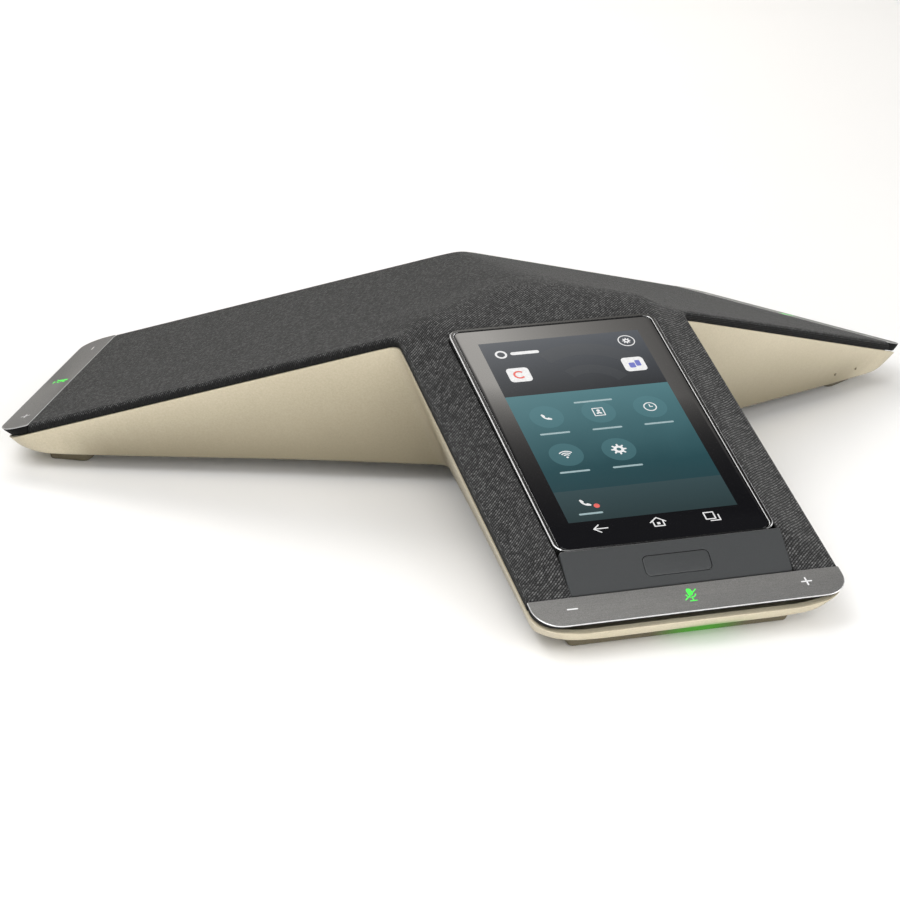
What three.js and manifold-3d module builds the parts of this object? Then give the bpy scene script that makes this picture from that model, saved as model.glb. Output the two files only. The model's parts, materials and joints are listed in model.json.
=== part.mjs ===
// Three-armed conference desk phone with a touch display on its front arm.
// Millimetres, +Z up. The arms meet on one upright axis; the front arm points to -Y.
// The finished group is shifted so that its origin is the centre of its footprint box, on the table.
import * as THREE from 'three';
import { mergeVertices } from 'three/addons/utils/BufferGeometryUtils.js';
import Module from 'manifold-3d';

const wasm = await Module();
wasm.setup();

// ---- Driving dimensions -------------------------------------------------------------------------
const ARM_REACH = 192.2; // axis to the tip of each touch strip
const ARM_HALF_WIDTH = 57.4;
const PLANE_APEX = 78.5; // height at which the three sloping top planes would meet
const ARM_SLOPE = 0.3285; // fall of a top plane per millimetre of reach
const RIDGE_SOFT_CENTRE = 10; // how widely the ridges are rounded at the axis
const RIDGE_SOFT_NOTCH = 3; // and at the inner corners
const NOTCH_DISTANCE = ARM_HALF_WIDTH / Math.sin(Math.PI / 3);
const GAP = 0.3; // clearance between pieces that meet

const UNDERSIDE = 7.2; // flat underside above the table
const FLOOR = 2.5;
const FLOOR_TOP = UNDERSIDE + FLOOR;
const HOUSING_WALL = 2.7;
const WALL_LEAN = 0.417; // inward lean of the walls per millimetre of drop
const RIM_HALF_WIDTH = 57.2;
const RIM_REACH = 189.2;
const RIM_DROP = 3.95; // rim below the top plane
const RIM_LIP = 1;
const RIM_LEDGE_DROP = 4.4;
const NOSE_REACH = 187.9; // reach of the underside
const RIM_CORNER = 9;
const NOSE_CORNER = 12;
const NOTCH_RADIUS = 6;

const FABRIC = 1.4; // thickness of fabric and backing
const FABRIC_END = 178.9;
const FABRIC_FOLD = 0.7; // thickness of the edge folded down at the arm's tip
const FRAME_TOP_DROP = FABRIC + GAP;
const FRAME_BOTTOM_DROP = 4;
const FRAME_HALF_WIDTH = ARM_HALF_WIDTH - FABRIC - GAP;

const CROWN = 4.5; // how far the fabric rises around the display
const CROWN_FLAT = 41; // half width over which the crown is full
const CROWN_FADE = 56;

const STRIP_START = 179.2;
const STRIP_THICKNESS = 0.8;
const STRIP_CORNER = 10;
const STRIP_CHAMFER = 0.4;
const BASE_TOP_DROP = STRIP_THICKNESS + GAP;
const BASE_BOTTOM_DROP = RIM_DROP - GAP;
const BASE_UNDERCUT = 3.4; // how far the carrier slopes in below the strip's outer edge
const TONGUE_BOTTOM_DROP = 4.2;

const FOOT_FRONT = 175.9;
const FOOT_HALF_WIDTH = 41.4;
const FOOT_DEPTH = 17.4;
const FOOT_BEVEL = 1.5;
const LIGHT_BAR_DEPTH = 3;
const MICROPHONE_PLACE = [46, 168]; // across and along each arm

const DISPLAY_TILT = THREE.MathUtils.degToRad(18.74);
const DISPLAY_CENTRE = new THREE.Vector3(0, -103.7, 50.9); // middle of the bezel's top face
const BEZEL_SIZE = [80.5, 127.8];
const BEZEL_CORNER = 4.6;
const BEZEL_DEPTH = 8.5;
const GLASS_SIZE = [76.7, 125.1];
const GLASS_SHIFT = 0.35; // the glass sits this much nearer the top border
const GLASS_RECESS = 0.3;
const GLASS_THICKNESS = 1.1;
const PANEL_SIZE = [68.5, 116.5];

const CHIN_TILT = THREE.MathUtils.degToRad(41);
const CHIN_CENTRE = new THREE.Vector3(0, -171.8, 24.64); // middle of the chin's upper face
const CHIN_SIZE = [82, 16.4];
const CHIN_THICKNESS = 1.8;
const KEY_SIZE = [24.3, 7.6];
const KEY_CORNER = 1.8;
const KEY_TRAVEL = 0.5;

const BOARD_TOP = 13.2;
const BOARD_THICKNESS = 1.6;
const SCREW_OFFSET = 34; // screws either side of each arm's centre line
const SCREW_REACH = 148;

const SPEAKER_RADIUS = 38;
const SPEAKER_FLANGE_TOP = 58;

const PORT_BAY = { half: 25, from: 122.5, to: 151, top: 21 };
const PORT_WALL = 1.8;
const SOCKET_RATIO = 0.75; // depth of a socket's opening as a share of its length

const ARMS = { front: -Math.PI / 2, right: Math.PI / 6, left: (5 * Math.PI) / 6 };
const THIRD = Math.PI / 3;

// ---- Materials ----------------------------------------------------------------------------------
function finish(color, roughness, metalness = 0) {
  return () => new THREE.MeshStandardMaterial({ color, roughness, metalness });
}

const FINISH = {
  champagne: finish(0xb9ae93, 0.45, 0.15),
  fabric: finish(0x3b3c40, 0.95),
  aluminium: finish(0x7c7b7a, 0.4, 0.85),
  black: finish(0x17181a, 0.5),
  graphite: finish(0x424446, 0.45, 0.2),
  glass: finish(0x0c0d10, 0.06),
  panel: finish(0x2f6870, 0.3),
  rubber: finish(0x3a362c, 0.85),
  diffuser: finish(0x63c25a, 0.3),
  board: finish(0x1d4a34, 0.5),
  steel: finish(0xa9abad, 0.35, 0.9),
  magnet: finish(0x55565a, 0.5, 0.6),
  cone: finish(0x2a2a2c, 0.8),
  polyimide: finish(0xb06f22, 0.4),
};

// ---- Solids and booleans ------------------------------------------------------------------------
function toSolid(geometry) {
  const bare = geometry.clone();
  bare.deleteAttribute('normal');
  bare.deleteAttribute('uv');
  const merged = mergeVertices(bare, 1e-4);
  return new wasm.Manifold(new wasm.Mesh({
    numProp: 3,
    vertProperties: new Float32Array(merged.attributes.position.array),
    triVerts: new Uint32Array(merged.index.array),
  }));
}

function toGeometry(solid) {
  const mesh = solid.getMesh();
  const geometry = new THREE.BufferGeometry();
  geometry.setAttribute('position', new THREE.BufferAttribute(new Float32Array(mesh.vertProperties), 3));
  geometry.setIndex(new THREE.BufferAttribute(new Uint32Array(mesh.triVerts), 1));
  return geometry;
}

function cut(geometry, ...tools) {
  return toGeometry(tools.reduce((solid, tool) => solid.subtract(toSolid(tool)), toSolid(geometry)));
}

function join(geometry, ...others) {
  return toGeometry(others.reduce((solid, other) => solid.add(toSolid(other)), toSolid(geometry)));
}

// ---- Simple shapes ------------------------------------------------------------------------------
function box(width, depth, height, x = 0, y = 0, z = 0) {
  return new THREE.BoxGeometry(width, depth, height).translate(x, y, z);
}

function upright(radius, bottom, top, x, y, segments = 12) {
  const post = new THREE.CylinderGeometry(radius, radius, top - bottom, segments);
  return post.rotateX(Math.PI / 2).translate(x, y, (bottom + top) / 2);
}

function roundedRectangle(width, length, radius) {
  const x = width / 2 - radius;
  const y = length / 2 - radius;
  const shape = new THREE.Shape();
  shape.absarc(x, y, radius, 0, Math.PI / 2);
  shape.absarc(-x, y, radius, Math.PI / 2, Math.PI);
  shape.absarc(-x, -y, radius, Math.PI, 1.5 * Math.PI);
  shape.absarc(x, -y, radius, 1.5 * Math.PI, 2 * Math.PI);
  return shape;
}

// A rounded plate between two heights.
function plate([width, length], radius, bottom, top, segments = 3) {
  const options = { depth: top - bottom, bevelEnabled: false, curveSegments: segments };
  const outline = roundedRectangle(width, length, radius);
  return new THREE.ExtrudeGeometry(outline, options).translate(0, 0, bottom);
}

// A body of revolution about the arms' axis. Its profile starts and ends on the axis, or closes on itself.
function revolved(profile, segments = 18) {
  const points = profile.map(([radius, height]) => new THREE.Vector2(radius, height));
  const solidCore = points[0].x === 0;
  if (THREE.ShapeUtils.area(points) < 0) {
    points.reverse();
  }
  const outline = solidCore ? points : [...points, points[0]];
  return new THREE.LatheGeometry(outline, segments).rotateX(Math.PI / 2);
}

// ---- Places on the three arms -------------------------------------------------------------------
// s runs across an arm and r along it from the axis.
function onArm(angle, s, r) {
  return new THREE.Vector2(
    r * Math.cos(angle) - s * Math.sin(angle),
    r * Math.sin(angle) + s * Math.cos(angle),
  );
}

// Geometry drawn on the front arm is turned onto another arm.
function turnToArm(geometry, angle) {
  return geometry.rotateZ(angle - ARMS.front);
}

function rise(from, to, value) {
  return THREE.MathUtils.smoothstep(value, from, to);
}

// Height of the three top planes with their ridges rounded.
function planeHeight(x, y) {
  const outward = THREE.MathUtils.clamp(Math.hypot(x, y) / NOTCH_DISTANCE, 0, 1);
  const soft = THREE.MathUtils.lerp(RIDGE_SOFT_CENTRE, RIDGE_SOFT_NOTCH, outward);
  const reaches = Object.values(ARMS).map((angle) => x * Math.cos(angle) + y * Math.sin(angle));
  const longest = Math.max(...reaches);
  const excess = reaches.reduce((sum, reach) => sum + Math.exp((reach - longest) / soft), 0);
  return PLANE_APEX - ARM_SLOPE * (longest + soft * Math.log(excess));
}

// The fabric swells around the display and returns to the plane at the arm's edges and tip.
function crownHeight(x, y) {
  const across = 1 - rise(CROWN_FLAT, CROWN_FADE, Math.abs(x));
  const along = rise(-8, 42, -y) * (1 - rise(160, 178, -y));
  return CROWN * across * along;
}

function coverHeight(x, y) {
  return planeHeight(x, y) + crownHeight(x, y);
}

// Half of one arm's outline from the inner corner to the middle of the tip, as (s, r) pairs.
// Sides start at half width `base` on the axis and spread by `flare` per millimetre.
function halfOutline({ base, flare = 0, reach, corner = 0, notch = NOTCH_RADIUS, sides = 1, ends = 1 }) {
  const lean = Math.hypot(1, flare);
  const tilt = Math.atan(flare);
  const points = [];
  const centre = (base + notch * lean) / (Math.sin(THIRD) - flare * Math.cos(THIRD));
  const notchSteps = 3;
  for (let i = 0; i <= notchSteps; i += 1) {
    const angle = THREE.MathUtils.lerp(Math.PI / 6, -tilt, i / notchSteps);
    const s = centre * Math.sin(THIRD) - notch * Math.cos(angle);
    const r = centre * Math.cos(THIRD) - notch * Math.sin(angle);
    points.push([s, r]);
  }
  const cornerCentre = [base + flare * (reach - corner) - corner * lean, reach - corner];
  const sideEnd = cornerCentre[1] - corner * Math.sin(tilt);
  const sideStart = points.at(-1)[1];
  for (let i = 1; i < sides; i += 1) {
    const r = THREE.MathUtils.lerp(sideStart, sideEnd, i / sides);
    points.push([base + flare * r, r]);
  }
  const cornerSteps = corner > 0 ? 4 : 0;
  for (let i = 0; i <= cornerSteps; i += 1) {
    const angle = THREE.MathUtils.lerp(-tilt, Math.PI / 2, cornerSteps ? i / cornerSteps : 0);
    points.push([cornerCentre[0] + corner * Math.cos(angle), cornerCentre[1] + corner * Math.sin(angle)]);
  }
  const endHalf = points.at(-1)[0];
  for (let i = 1; i <= ends; i += 1) {
    points.push([endHalf * (1 - i / ends), reach]);
  }
  return points;
}

// The whole three-armed outline, anticlockwise from above.
function armOutline(options) {
  const half = halfOutline(options);
  const left = half.map(([s, r]) => [-s, r]);
  const right = half.slice(1, -1).reverse();
  return Object.values(ARMS).flatMap((angle) => [...left, ...right].map(([s, r]) => onArm(angle, s, r)));
}

function ringAt(outline, height) {
  return outline.map(({ x, y }) => new THREE.Vector3(x, y, height(x, y)));
}

// A closed body through rings of equal point count; the first and last rings are closed by fans.
// Each quad is split from its outer ring, so that parallel skins have parallel facets.
function lofted(rings, firstHeight, lastHeight) {
  const count = rings[0].length;
  const centres = [firstHeight, lastHeight].map((height) => new THREE.Vector3(0, 0, height));
  const points = [...rings.flat(), ...centres];
  const firstCentre = points.length - 2;
  const lastCentre = points.length - 1;
  const lastStart = (rings.length - 1) * count;
  const index = [];
  for (let i = 0; i < count; i += 1) {
    const next = (i + 1) % count;
    index.push(firstCentre, next, i, lastCentre, lastStart + i, lastStart + next);
    for (let ring = 0; ring < rings.length - 1; ring += 1) {
      const low = ring * count;
      const high = low + count;
      const inward = Math.hypot(points[low + i].x, points[low + i].y)
        >= Math.hypot(points[high + i].x, points[high + i].y);
      index.push(...(inward
        ? [low + i, low + next, high + next, low + i, high + next, high + i]
        : [low + i, low + next, high + i, low + next, high + next, high + i]));
    }
  }
  const geometry = new THREE.BufferGeometry().setFromPoints(points);
  geometry.setIndex(index);
  return geometry;
}

// ---- Housing and top ----------------------------------------------------------------------------
function screwPlaces() {
  return Object.entries(ARMS).flatMap(([arm, angle]) => [-1, 1].map((side) => ({
    name: `housing_screw_${arm}_${side < 0 ? 'a' : 'b'}`,
    arm,
    at: onArm(angle, side * SCREW_OFFSET, SCREW_REACH),
  })));
}

const POST_TOP = 17.5;
const SCREW_SEAT = 12;

function housingShell() {
  const drop = (amount) => (x, y) => planeHeight(x, y) - amount;
  const level = (height) => () => height;
  const flare = WALL_LEAN * ARM_SLOPE;
  const wallBase = (height) => RIM_HALF_WIDTH - WALL_LEAN * (PLANE_APEX - RIM_DROP - height);
  const outer = { base: RIM_HALF_WIDTH, reach: RIM_REACH, corner: RIM_CORNER };
  const lip = { base: RIM_HALF_WIDTH - RIM_LIP, reach: RIM_REACH - RIM_LIP, corner: RIM_CORNER - RIM_LIP };
  const inner = {
    base: RIM_HALF_WIDTH - HOUSING_WALL,
    reach: RIM_REACH - HOUSING_WALL,
    corner: RIM_CORNER - HOUSING_WALL,
  };
  const nose = { base: wallBase(UNDERSIDE), flare, reach: NOSE_REACH, corner: NOSE_CORNER };
  const floor = {
    base: wallBase(FLOOR_TOP) - HOUSING_WALL,
    flare,
    reach: NOSE_REACH - HOUSING_WALL,
    corner: NOSE_CORNER - HOUSING_WALL,
  };
  return lofted([
    ringAt(armOutline(nose), level(UNDERSIDE)),
    ringAt(armOutline(outer), drop(RIM_DROP)),
    ringAt(armOutline(lip), drop(RIM_DROP)),
    ringAt(armOutline(lip), drop(RIM_LEDGE_DROP)),
    ringAt(armOutline(inner), drop(RIM_LEDGE_DROP)),
    ringAt(armOutline(floor), level(FLOOR_TOP)),
  ], UNDERSIDE, FLOOR_TOP);
}

function lowerHousing() {
  const posts = screwPlaces().map(({ at }) => upright(5, UNDERSIDE + 1, POST_TOP, at.x, at.y));
  const bores = screwPlaces().flatMap(({ at }) => [
    upright(3.4, UNDERSIDE - 1, SCREW_SEAT, at.x, at.y),
    upright(1.9, UNDERSIDE, POST_TOP + 1, at.x, at.y),
  ]);
  const { half, from, to } = PORT_BAY;
  const length = to - from + 2 * GAP;
  const bay = turnToArm(box(2 * (half + GAP), length, 8, 0, -(from + to) / 2, UNDERSIDE), ARMS.right);
  const lightSlots = Object.values(ARMS).map((angle) => turnToArm(
    box(60, LIGHT_BAR_DEPTH + 2 * GAP, 8, 0, LIGHT_BAR_DEPTH / 2 - FOOT_FRONT, UNDERSIDE),
    angle,
  ));
  return cut(join(housingShell(), ...posts), ...bores, bay, ...lightSlots);
}

// Fabric and frame share one set of rings, so that their facets run parallel.
const COVER_STEPS = [0.86, 0.72, 0.5, 0.3, 0.13];
const COVER_SIDES = { sides: 5, ends: 2 };
const COVER_OUTLINE = armOutline({
  base: FRAME_HALF_WIDTH,
  reach: FABRIC_END - FABRIC_FOLD - GAP,
  ...COVER_SIDES,
});

function coverRings(drop) {
  return COVER_STEPS.map((scale) => ringAt(
    COVER_OUTLINE.map((point) => point.clone().multiplyScalar(scale)),
    (x, y) => coverHeight(x, y) - drop,
  ));
}

function displayOpening(clearance) {
  const size = BEZEL_SIZE.map((length) => length + 2 * clearance);
  const bezel = plate(size, BEZEL_CORNER + clearance, -30, 20);
  bezel.rotateX(DISPLAY_TILT).translate(...DISPLAY_CENTRE.toArray());
  const chin = box(CHIN_SIZE[0] + 2 * clearance, 40, 60, 0, -180, 30);
  return [bezel, chin];
}

function fabricCover() {
  const outer = armOutline({ base: ARM_HALF_WIDTH, reach: FABRIC_END, ...COVER_SIDES });
  const inner = armOutline({
    base: ARM_HALF_WIDTH - FABRIC,
    reach: FABRIC_END - FABRIC_FOLD,
    ...COVER_SIDES,
  });
  const hem = (x, y) => planeHeight(x, y) - RIM_DROP + GAP;
  const shell = lofted([
    ...coverRings(FABRIC).reverse(),
    ringAt(inner, (x, y) => coverHeight(x, y) - FABRIC),
    ringAt(inner, hem),
    ringAt(outer, hem),
    ringAt(outer, (x, y) => planeHeight(x, y) - FABRIC),
    ringAt(inner, coverHeight),
    ...coverRings(0),
  ], coverHeight(0, 0) - FABRIC, coverHeight(0, 0));
  return cut(shell, ...displayOpening(0.35));
}

// Slots over the loudspeaker, in a fan on each arm.
function speakerSlots() {
  return Object.values(ARMS).flatMap((angle) => [-18, -6, 6, 18].map((s) => {
    const start = 12 + Math.abs(s) / 2;
    return turnToArm(box(4.5, 20, 40, s, -start - 10, 66), angle);
  }));
}

function topFrame() {
  const shell = lofted([
    ...coverRings(FRAME_BOTTOM_DROP).reverse(),
    ringAt(COVER_OUTLINE, (x, y) => coverHeight(x, y) - FRAME_BOTTOM_DROP),
    ringAt(COVER_OUTLINE, (x, y) => coverHeight(x, y) - FRAME_TOP_DROP),
    ...coverRings(FRAME_TOP_DROP),
  ], coverHeight(0, 0) - FRAME_BOTTOM_DROP, coverHeight(0, 0) - FRAME_TOP_DROP);
  const hung = screwPlaces().filter(({ arm }) => arm !== 'front');
  const top = PLANE_APEX - ARM_SLOPE * SCREW_REACH - FRAME_TOP_DROP - 1;
  const bosses = hung.map(({ at }) => upright(3.6, POST_TOP + GAP, top, at.x, at.y));
  const bores = hung.map(({ at }) => upright(1.6, POST_TOP, top - 1, at.x, at.y));
  return cut(join(shell, ...bosses), ...displayOpening(0.8), ...speakerSlots(), ...bores);
}

// ---- Arm tips -----------------------------------------------------------------------------------
// Outline of a tip piece on the front arm, between two reaches, with rounded outer corners.
function tipShape(half, from, to, corner) {
  const shape = new THREE.Shape();
  shape.moveTo(half, -from);
  shape.lineTo(-half, -from);
  shape.absarc(-half + corner, -to + corner, corner, Math.PI, 1.5 * Math.PI);
  shape.absarc(half - corner, -to + corner, corner, 1.5 * Math.PI, 2 * Math.PI);
  return shape;
}

// A tip piece whose section changes from ring to ring, lying in the arm's top plane.
function tipBody(layers) {
  const rings = layers.map(({ half, from, to, corner, drop }) => {
    const points = tipShape(half, from, to, corner).extractPoints(3).shape;
    return points.map(({ x, y }) => new THREE.Vector3(x, y, PLANE_APEX + ARM_SLOPE * y - drop));
  });
  const middle = -(layers[0].from + layers[0].to) / 2;
  const shifted = rings.map((ring) => ring.map((point) => point.clone().setY(point.y - middle)));
  const first = PLANE_APEX + ARM_SLOPE * middle - layers[0].drop;
  const last = PLANE_APEX + ARM_SLOPE * middle - layers.at(-1).drop;
  return lofted(shifted, first, last).translate(0, middle, 0);
}

function touchStrip() {
  const full = { half: ARM_HALF_WIDTH, from: STRIP_START, to: ARM_REACH, corner: STRIP_CORNER };
  const less = {
    half: ARM_HALF_WIDTH - STRIP_CHAMFER,
    from: STRIP_START + STRIP_CHAMFER,
    to: ARM_REACH - STRIP_CHAMFER,
    corner: STRIP_CORNER - STRIP_CHAMFER,
  };
  return tipBody([
    { ...full, drop: STRIP_THICKNESS },
    { ...full, drop: STRIP_CHAMFER },
    { ...less, drop: 0 },
  ]);
}

function stripBase() {
  const from = STRIP_START + 0.2;
  const top = { half: ARM_HALF_WIDTH - 0.3, from, to: ARM_REACH - 0.4, corner: 9.7 };
  const low = { half: ARM_HALF_WIDTH - 0.6, from, to: ARM_REACH - BASE_UNDERCUT, corner: 8.5 };
  const tongue = { half: 51, from: STRIP_START + 1, to: 186.4, corner: 5 };
  return tipBody([
    { ...tongue, drop: TONGUE_BOTTOM_DROP },
    { ...tongue, drop: BASE_BOTTOM_DROP },
    { ...low, drop: BASE_BOTTOM_DROP },
    { ...top, drop: BASE_TOP_DROP },
  ]);
}

function touchBoard() {
  const board = { half: 49, from: STRIP_START + 1.3, to: 185.8, corner: 2 };
  return tipBody([
    { ...board, drop: TONGUE_BOTTOM_DROP + GAP + 0.9 },
    { ...board, drop: TONGUE_BOTTOM_DROP + GAP },
  ]);
}

// The light bar forms the front of the foot and passes up through a slot in the floor.
function lightBar() {
  const lens = plate([2 * FOOT_HALF_WIDTH, LIGHT_BAR_DEPTH], 1, 0.2, UNDERSIDE - GAP, 2);
  const stem = box(58, LIGHT_BAR_DEPTH - 0.4, 4, 0, 0, FLOOR_TOP - GAP - 2);
  return join(lens, stem).translate(0, LIGHT_BAR_DEPTH / 2 - FOOT_FRONT, 0);
}

// A wide block with bevelled sides, seated against the underside.
function foot() {
  const depth = FOOT_DEPTH - LIGHT_BAR_DEPTH - GAP;
  const top = plate([2 * FOOT_HALF_WIDTH, depth], 2, FOOT_BEVEL, UNDERSIDE - GAP, 2);
  const pad = plate([2 * (FOOT_HALF_WIDTH - FOOT_BEVEL), depth - FOOT_BEVEL], 2, 0, FOOT_BEVEL + 0.5, 2);
  return join(top, pad).translate(0, LIGHT_BAR_DEPTH + GAP + depth / 2 - FOOT_FRONT, 0);
}

function microphone() {
  const [s, r] = MICROPHONE_PLACE;
  const height = PLANE_APEX - ARM_SLOPE * r - FRAME_BOTTOM_DROP - 1.6;
  return join(upright(3, height - 3, height, s, -r), box(9, 8, 1, s, -r, height - 3));
}

// ---- Display module, drawn flat with its bezel's top face at zero -----------------------------
const GLASS_BOTTOM = -GLASS_RECESS - GLASS_THICKNESS;
const GASKET_BOTTOM = GLASS_BOTTOM - GAP - 0.6;
const LEDGE_TOP = GASKET_BOTTOM - GAP;
const LEDGE_BOTTOM = LEDGE_TOP - 1;
const PANEL_BOTTOM = -4.3;
const TRAY_TOP = -5;
const TRAY_BOTTOM = -6.8;
const FLEX_REACH = 83; // where the display cable hangs, along the front arm

// Height of a layer of the tilted module, at a given depth under its face and reach along the arm.
function moduleHeight(reach, depth) {
  const run = reach + DISPLAY_CENTRE.y;
  return DISPLAY_CENTRE.z - run * Math.tan(DISPLAY_TILT) - depth / Math.cos(DISPLAY_TILT);
}

function displayBezel() {
  const opening = GLASS_SIZE.map((length) => length + 2 * GAP);
  const body = plate(BEZEL_SIZE, BEZEL_CORNER, -BEZEL_DEPTH, 0);
  const glassPocket = plate(opening, 3.8, LEDGE_TOP, 1).translate(0, GLASS_SHIFT, 0);
  const window = plate(opening.map((length) => length - 5), 2.5, -BEZEL_DEPTH - 1, LEDGE_TOP + 0.5);
  const trayPocket = plate(opening.map((length) => length - 1), 3, -BEZEL_DEPTH - 1, LEDGE_BOTTOM);
  return cut(body, glassPocket, window, trayPocket);
}

function coverGlass() {
  return plate(GLASS_SIZE, 3.5, GLASS_BOTTOM, -GLASS_RECESS).translate(0, GLASS_SHIFT, 0);
}

function displayGasket() {
  const ring = plate(GLASS_SIZE, 3.5, GASKET_BOTTOM, GLASS_BOTTOM - GAP, 3);
  const hole = plate(GLASS_SIZE.map((length) => length - 6), 2, GASKET_BOTTOM - 1, 0, 2);
  return cut(ring, hole).translate(0, GLASS_SHIFT, 0);
}

function displayPanel() {
  const top = GLASS_BOTTOM - GAP;
  return box(...PANEL_SIZE, top - PANEL_BOTTOM, 0, 0, (top + PANEL_BOTTOM) / 2);
}

// The tray closes the module; two upright bosses under it take the front screws.
function displayTray() {
  const tray = plate(GLASS_SIZE.map((length) => length - 1.2), 2.5, TRAY_BOTTOM, TRAY_TOP);
  tray.rotateX(DISPLAY_TILT).translate(...DISPLAY_CENTRE.toArray());
  const slot = box(20, 3, 12, 0, -FLEX_REACH, moduleHeight(FLEX_REACH, -TRAY_TOP));
  const places = screwPlaces().filter(({ arm }) => arm === 'front');
  const top = moduleHeight(SCREW_REACH, -TRAY_TOP) - 1;
  const bosses = places.map(({ at }) => upright(3.2, POST_TOP + GAP, top, at.x, at.y));
  const bores = places.map(({ at }) => upright(1.6, POST_TOP, top - 2, at.x, at.y));
  return cut(join(tray, ...bosses), slot, ...bores);
}

function displayFlex() {
  const bottom = BOARD_TOP + GAP;
  const top = moduleHeight(FLEX_REACH, -PANEL_BOTTOM) - 2 * GAP;
  const ribbon = box(16, 0.5, top - bottom, 0, -FLEX_REACH, (top + bottom) / 2);
  return join(ribbon, box(18, 5, 1.6, 0, -FLEX_REACH, bottom + 0.8));
}

// ---- Chin and its key, drawn flat with the chin's upper face at zero --------------------------
function chinPlate() {
  const body = plate(CHIN_SIZE, 0.8, -CHIN_THICKNESS, 0, 2);
  const opening = KEY_SIZE.map((length) => length + 2 * GAP);
  return cut(body, plate(opening, KEY_CORNER + GAP, -5, 5));
}

function functionKey() {
  const cap = plate(KEY_SIZE, KEY_CORNER, -CHIN_THICKNESS, 0);
  const plunger = box(4, 3, 1.5, 0, 0, -CHIN_THICKNESS - 0.25);
  return join(cap, plunger);
}

function keySwitch() {
  const board = box(26, 8, 1, 0, 0, -CHIN_THICKNESS - 3.6);
  const top = -CHIN_THICKNESS - 1 - KEY_TRAVEL - 0.2;
  return join(board, box(5, 4, 2, 0, 0, top - 1));
}

// ---- Electronics --------------------------------------------------------------------------------
// One Y-shaped board lies on the floor and reaches into every arm.
function mainBoard() {
  const outline = armOutline({ base: 24, reach: 112, corner: 3, notch: 4 });
  return lofted([
    ringAt(outline, () => BOARD_TOP - BOARD_THICKNESS),
    ringAt(outline, () => BOARD_TOP),
  ], BOARD_TOP - BOARD_THICKNESS, BOARD_TOP);
}

function shieldCan() {
  const can = box(34, 40, 3.4, 0, -72, BOARD_TOP + GAP + 1.7);
  return turnToArm(cut(can, box(33, 39, 3, 0, -72, BOARD_TOP + GAP + 1.3)), ARMS.left);
}

function heatSpreader() {
  const fins = [-15, -9, -3, 3, 9, 15].map((x) => box(1.4, 34, 5, x, -58, BOARD_TOP + 4));
  return join(box(36, 34, 2, 0, -58, BOARD_TOP + GAP + 1), ...fins);
}

// A socket block on the port board line, open towards the tip of the right arm.
function socket({ s, width, height, length, wall, corner }) {
  const face = PORT_BAY.from + 1.4;
  const body = plate([width, height], corner, 0, length, 2);
  const opening = [width - 2 * wall, height - 2 * wall];
  const mouth = plate(opening, Math.max(corner - wall, 0.2), -1, length * SOCKET_RATIO, 2);
  const shell = cut(body, mouth).rotateX(-Math.PI / 2);
  shell.translate(s, -face, BOARD_TOP + GAP + height / 2);
  return turnToArm(shell, ARMS.right);
}

const SOCKETS = {
  ethernet_jack: { s: -13.5, width: 16.2, height: 13.6, length: 21, wall: 1.2, corner: 0.6 },
  usb_a_port: { s: 3.8, width: 13.2, height: 5.8, length: 14, wall: 0.5, corner: 0.6 },
  usb_c_port: { s: 17.2, width: 9, height: 3.3, length: 8, wall: 0.4, corner: 1.6 },
};

// An open-bottomed pocket in the right arm's underside; the sockets look into it.
function portBay() {
  const { half, from, to, top } = PORT_BAY;
  const depth = to - from;
  const bottom = UNDERSIDE + 0.2;
  const body = box(2 * half, depth, top - bottom, 0, -(from + to) / 2, (top + bottom) / 2);
  const hollow = box(2 * (half - PORT_WALL), depth - 2 * PORT_WALL, top - bottom, 0, -(from + to) / 2,
    (top + bottom) / 2 - PORT_WALL);
  const holes = Object.values(SOCKETS).map(({ s, width, height }) => box(
    width + 2 * GAP,
    8,
    height + 2 * GAP,
    s,
    -from,
    BOARD_TOP + GAP + height / 2,
  ));
  return turnToArm(cut(body, hollow, ...holes), ARMS.right);
}

const FLEX_WIDTH = 10;
const FLEX_THICKNESS = 0.5;

// Flat cable that drops to the main board from under the top frame.
function slopedFlex(angle) {
  const from = 94;
  const to = STRIP_START - GAP;
  const drop = FRAME_BOTTOM_DROP + 1;
  const line = (r) => PLANE_APEX - ARM_SLOPE * r - drop;
  const side = new THREE.Shape([
    new THREE.Vector2(from, BOARD_TOP + GAP),
    new THREE.Vector2(from + FLEX_THICKNESS, BOARD_TOP + GAP),
    new THREE.Vector2(from + FLEX_THICKNESS, line(from + FLEX_THICKNESS) - FLEX_THICKNESS),
    new THREE.Vector2(to, line(to) - FLEX_THICKNESS),
    new THREE.Vector2(to, line(to)),
    new THREE.Vector2(from, line(from)),
  ]);
  const strap = new THREE.ExtrudeGeometry(side, { depth: FLEX_WIDTH, bevelEnabled: false });
  strap.rotateX(Math.PI / 2).rotateZ(-Math.PI / 2).translate(FLEX_WIDTH / 2, 0, 0);
  return turnToArm(strap, angle);
}

// The front arm's cable runs level, below the display module.
function flatFlex() {
  const [from, to] = [113, STRIP_START - GAP];
  return box(FLEX_WIDTH, to - from, FLEX_THICKNESS, 0, -(from + to) / 2, FLOOR_TOP + 2 * FLEX_THICKNESS);
}

function antenna(angle) {
  const geometry = box(9, 44, 0.8, 0, 0, 0);
  const reach = 84;
  geometry.rotateX(Math.atan(ARM_SLOPE));
  geometry.translate(20, -reach, PLANE_APEX - ARM_SLOPE * reach - FRAME_BOTTOM_DROP - 1.6);
  return turnToArm(geometry, angle);
}

// ---- Loudspeaker, on the arms' axis ---------------------------------------------------------------
const FLANGE_BOTTOM = SPEAKER_FLANGE_TOP - 2;
const MAGNET_TOP = 40;
const COIL_RADIUS = 12.5;

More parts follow.
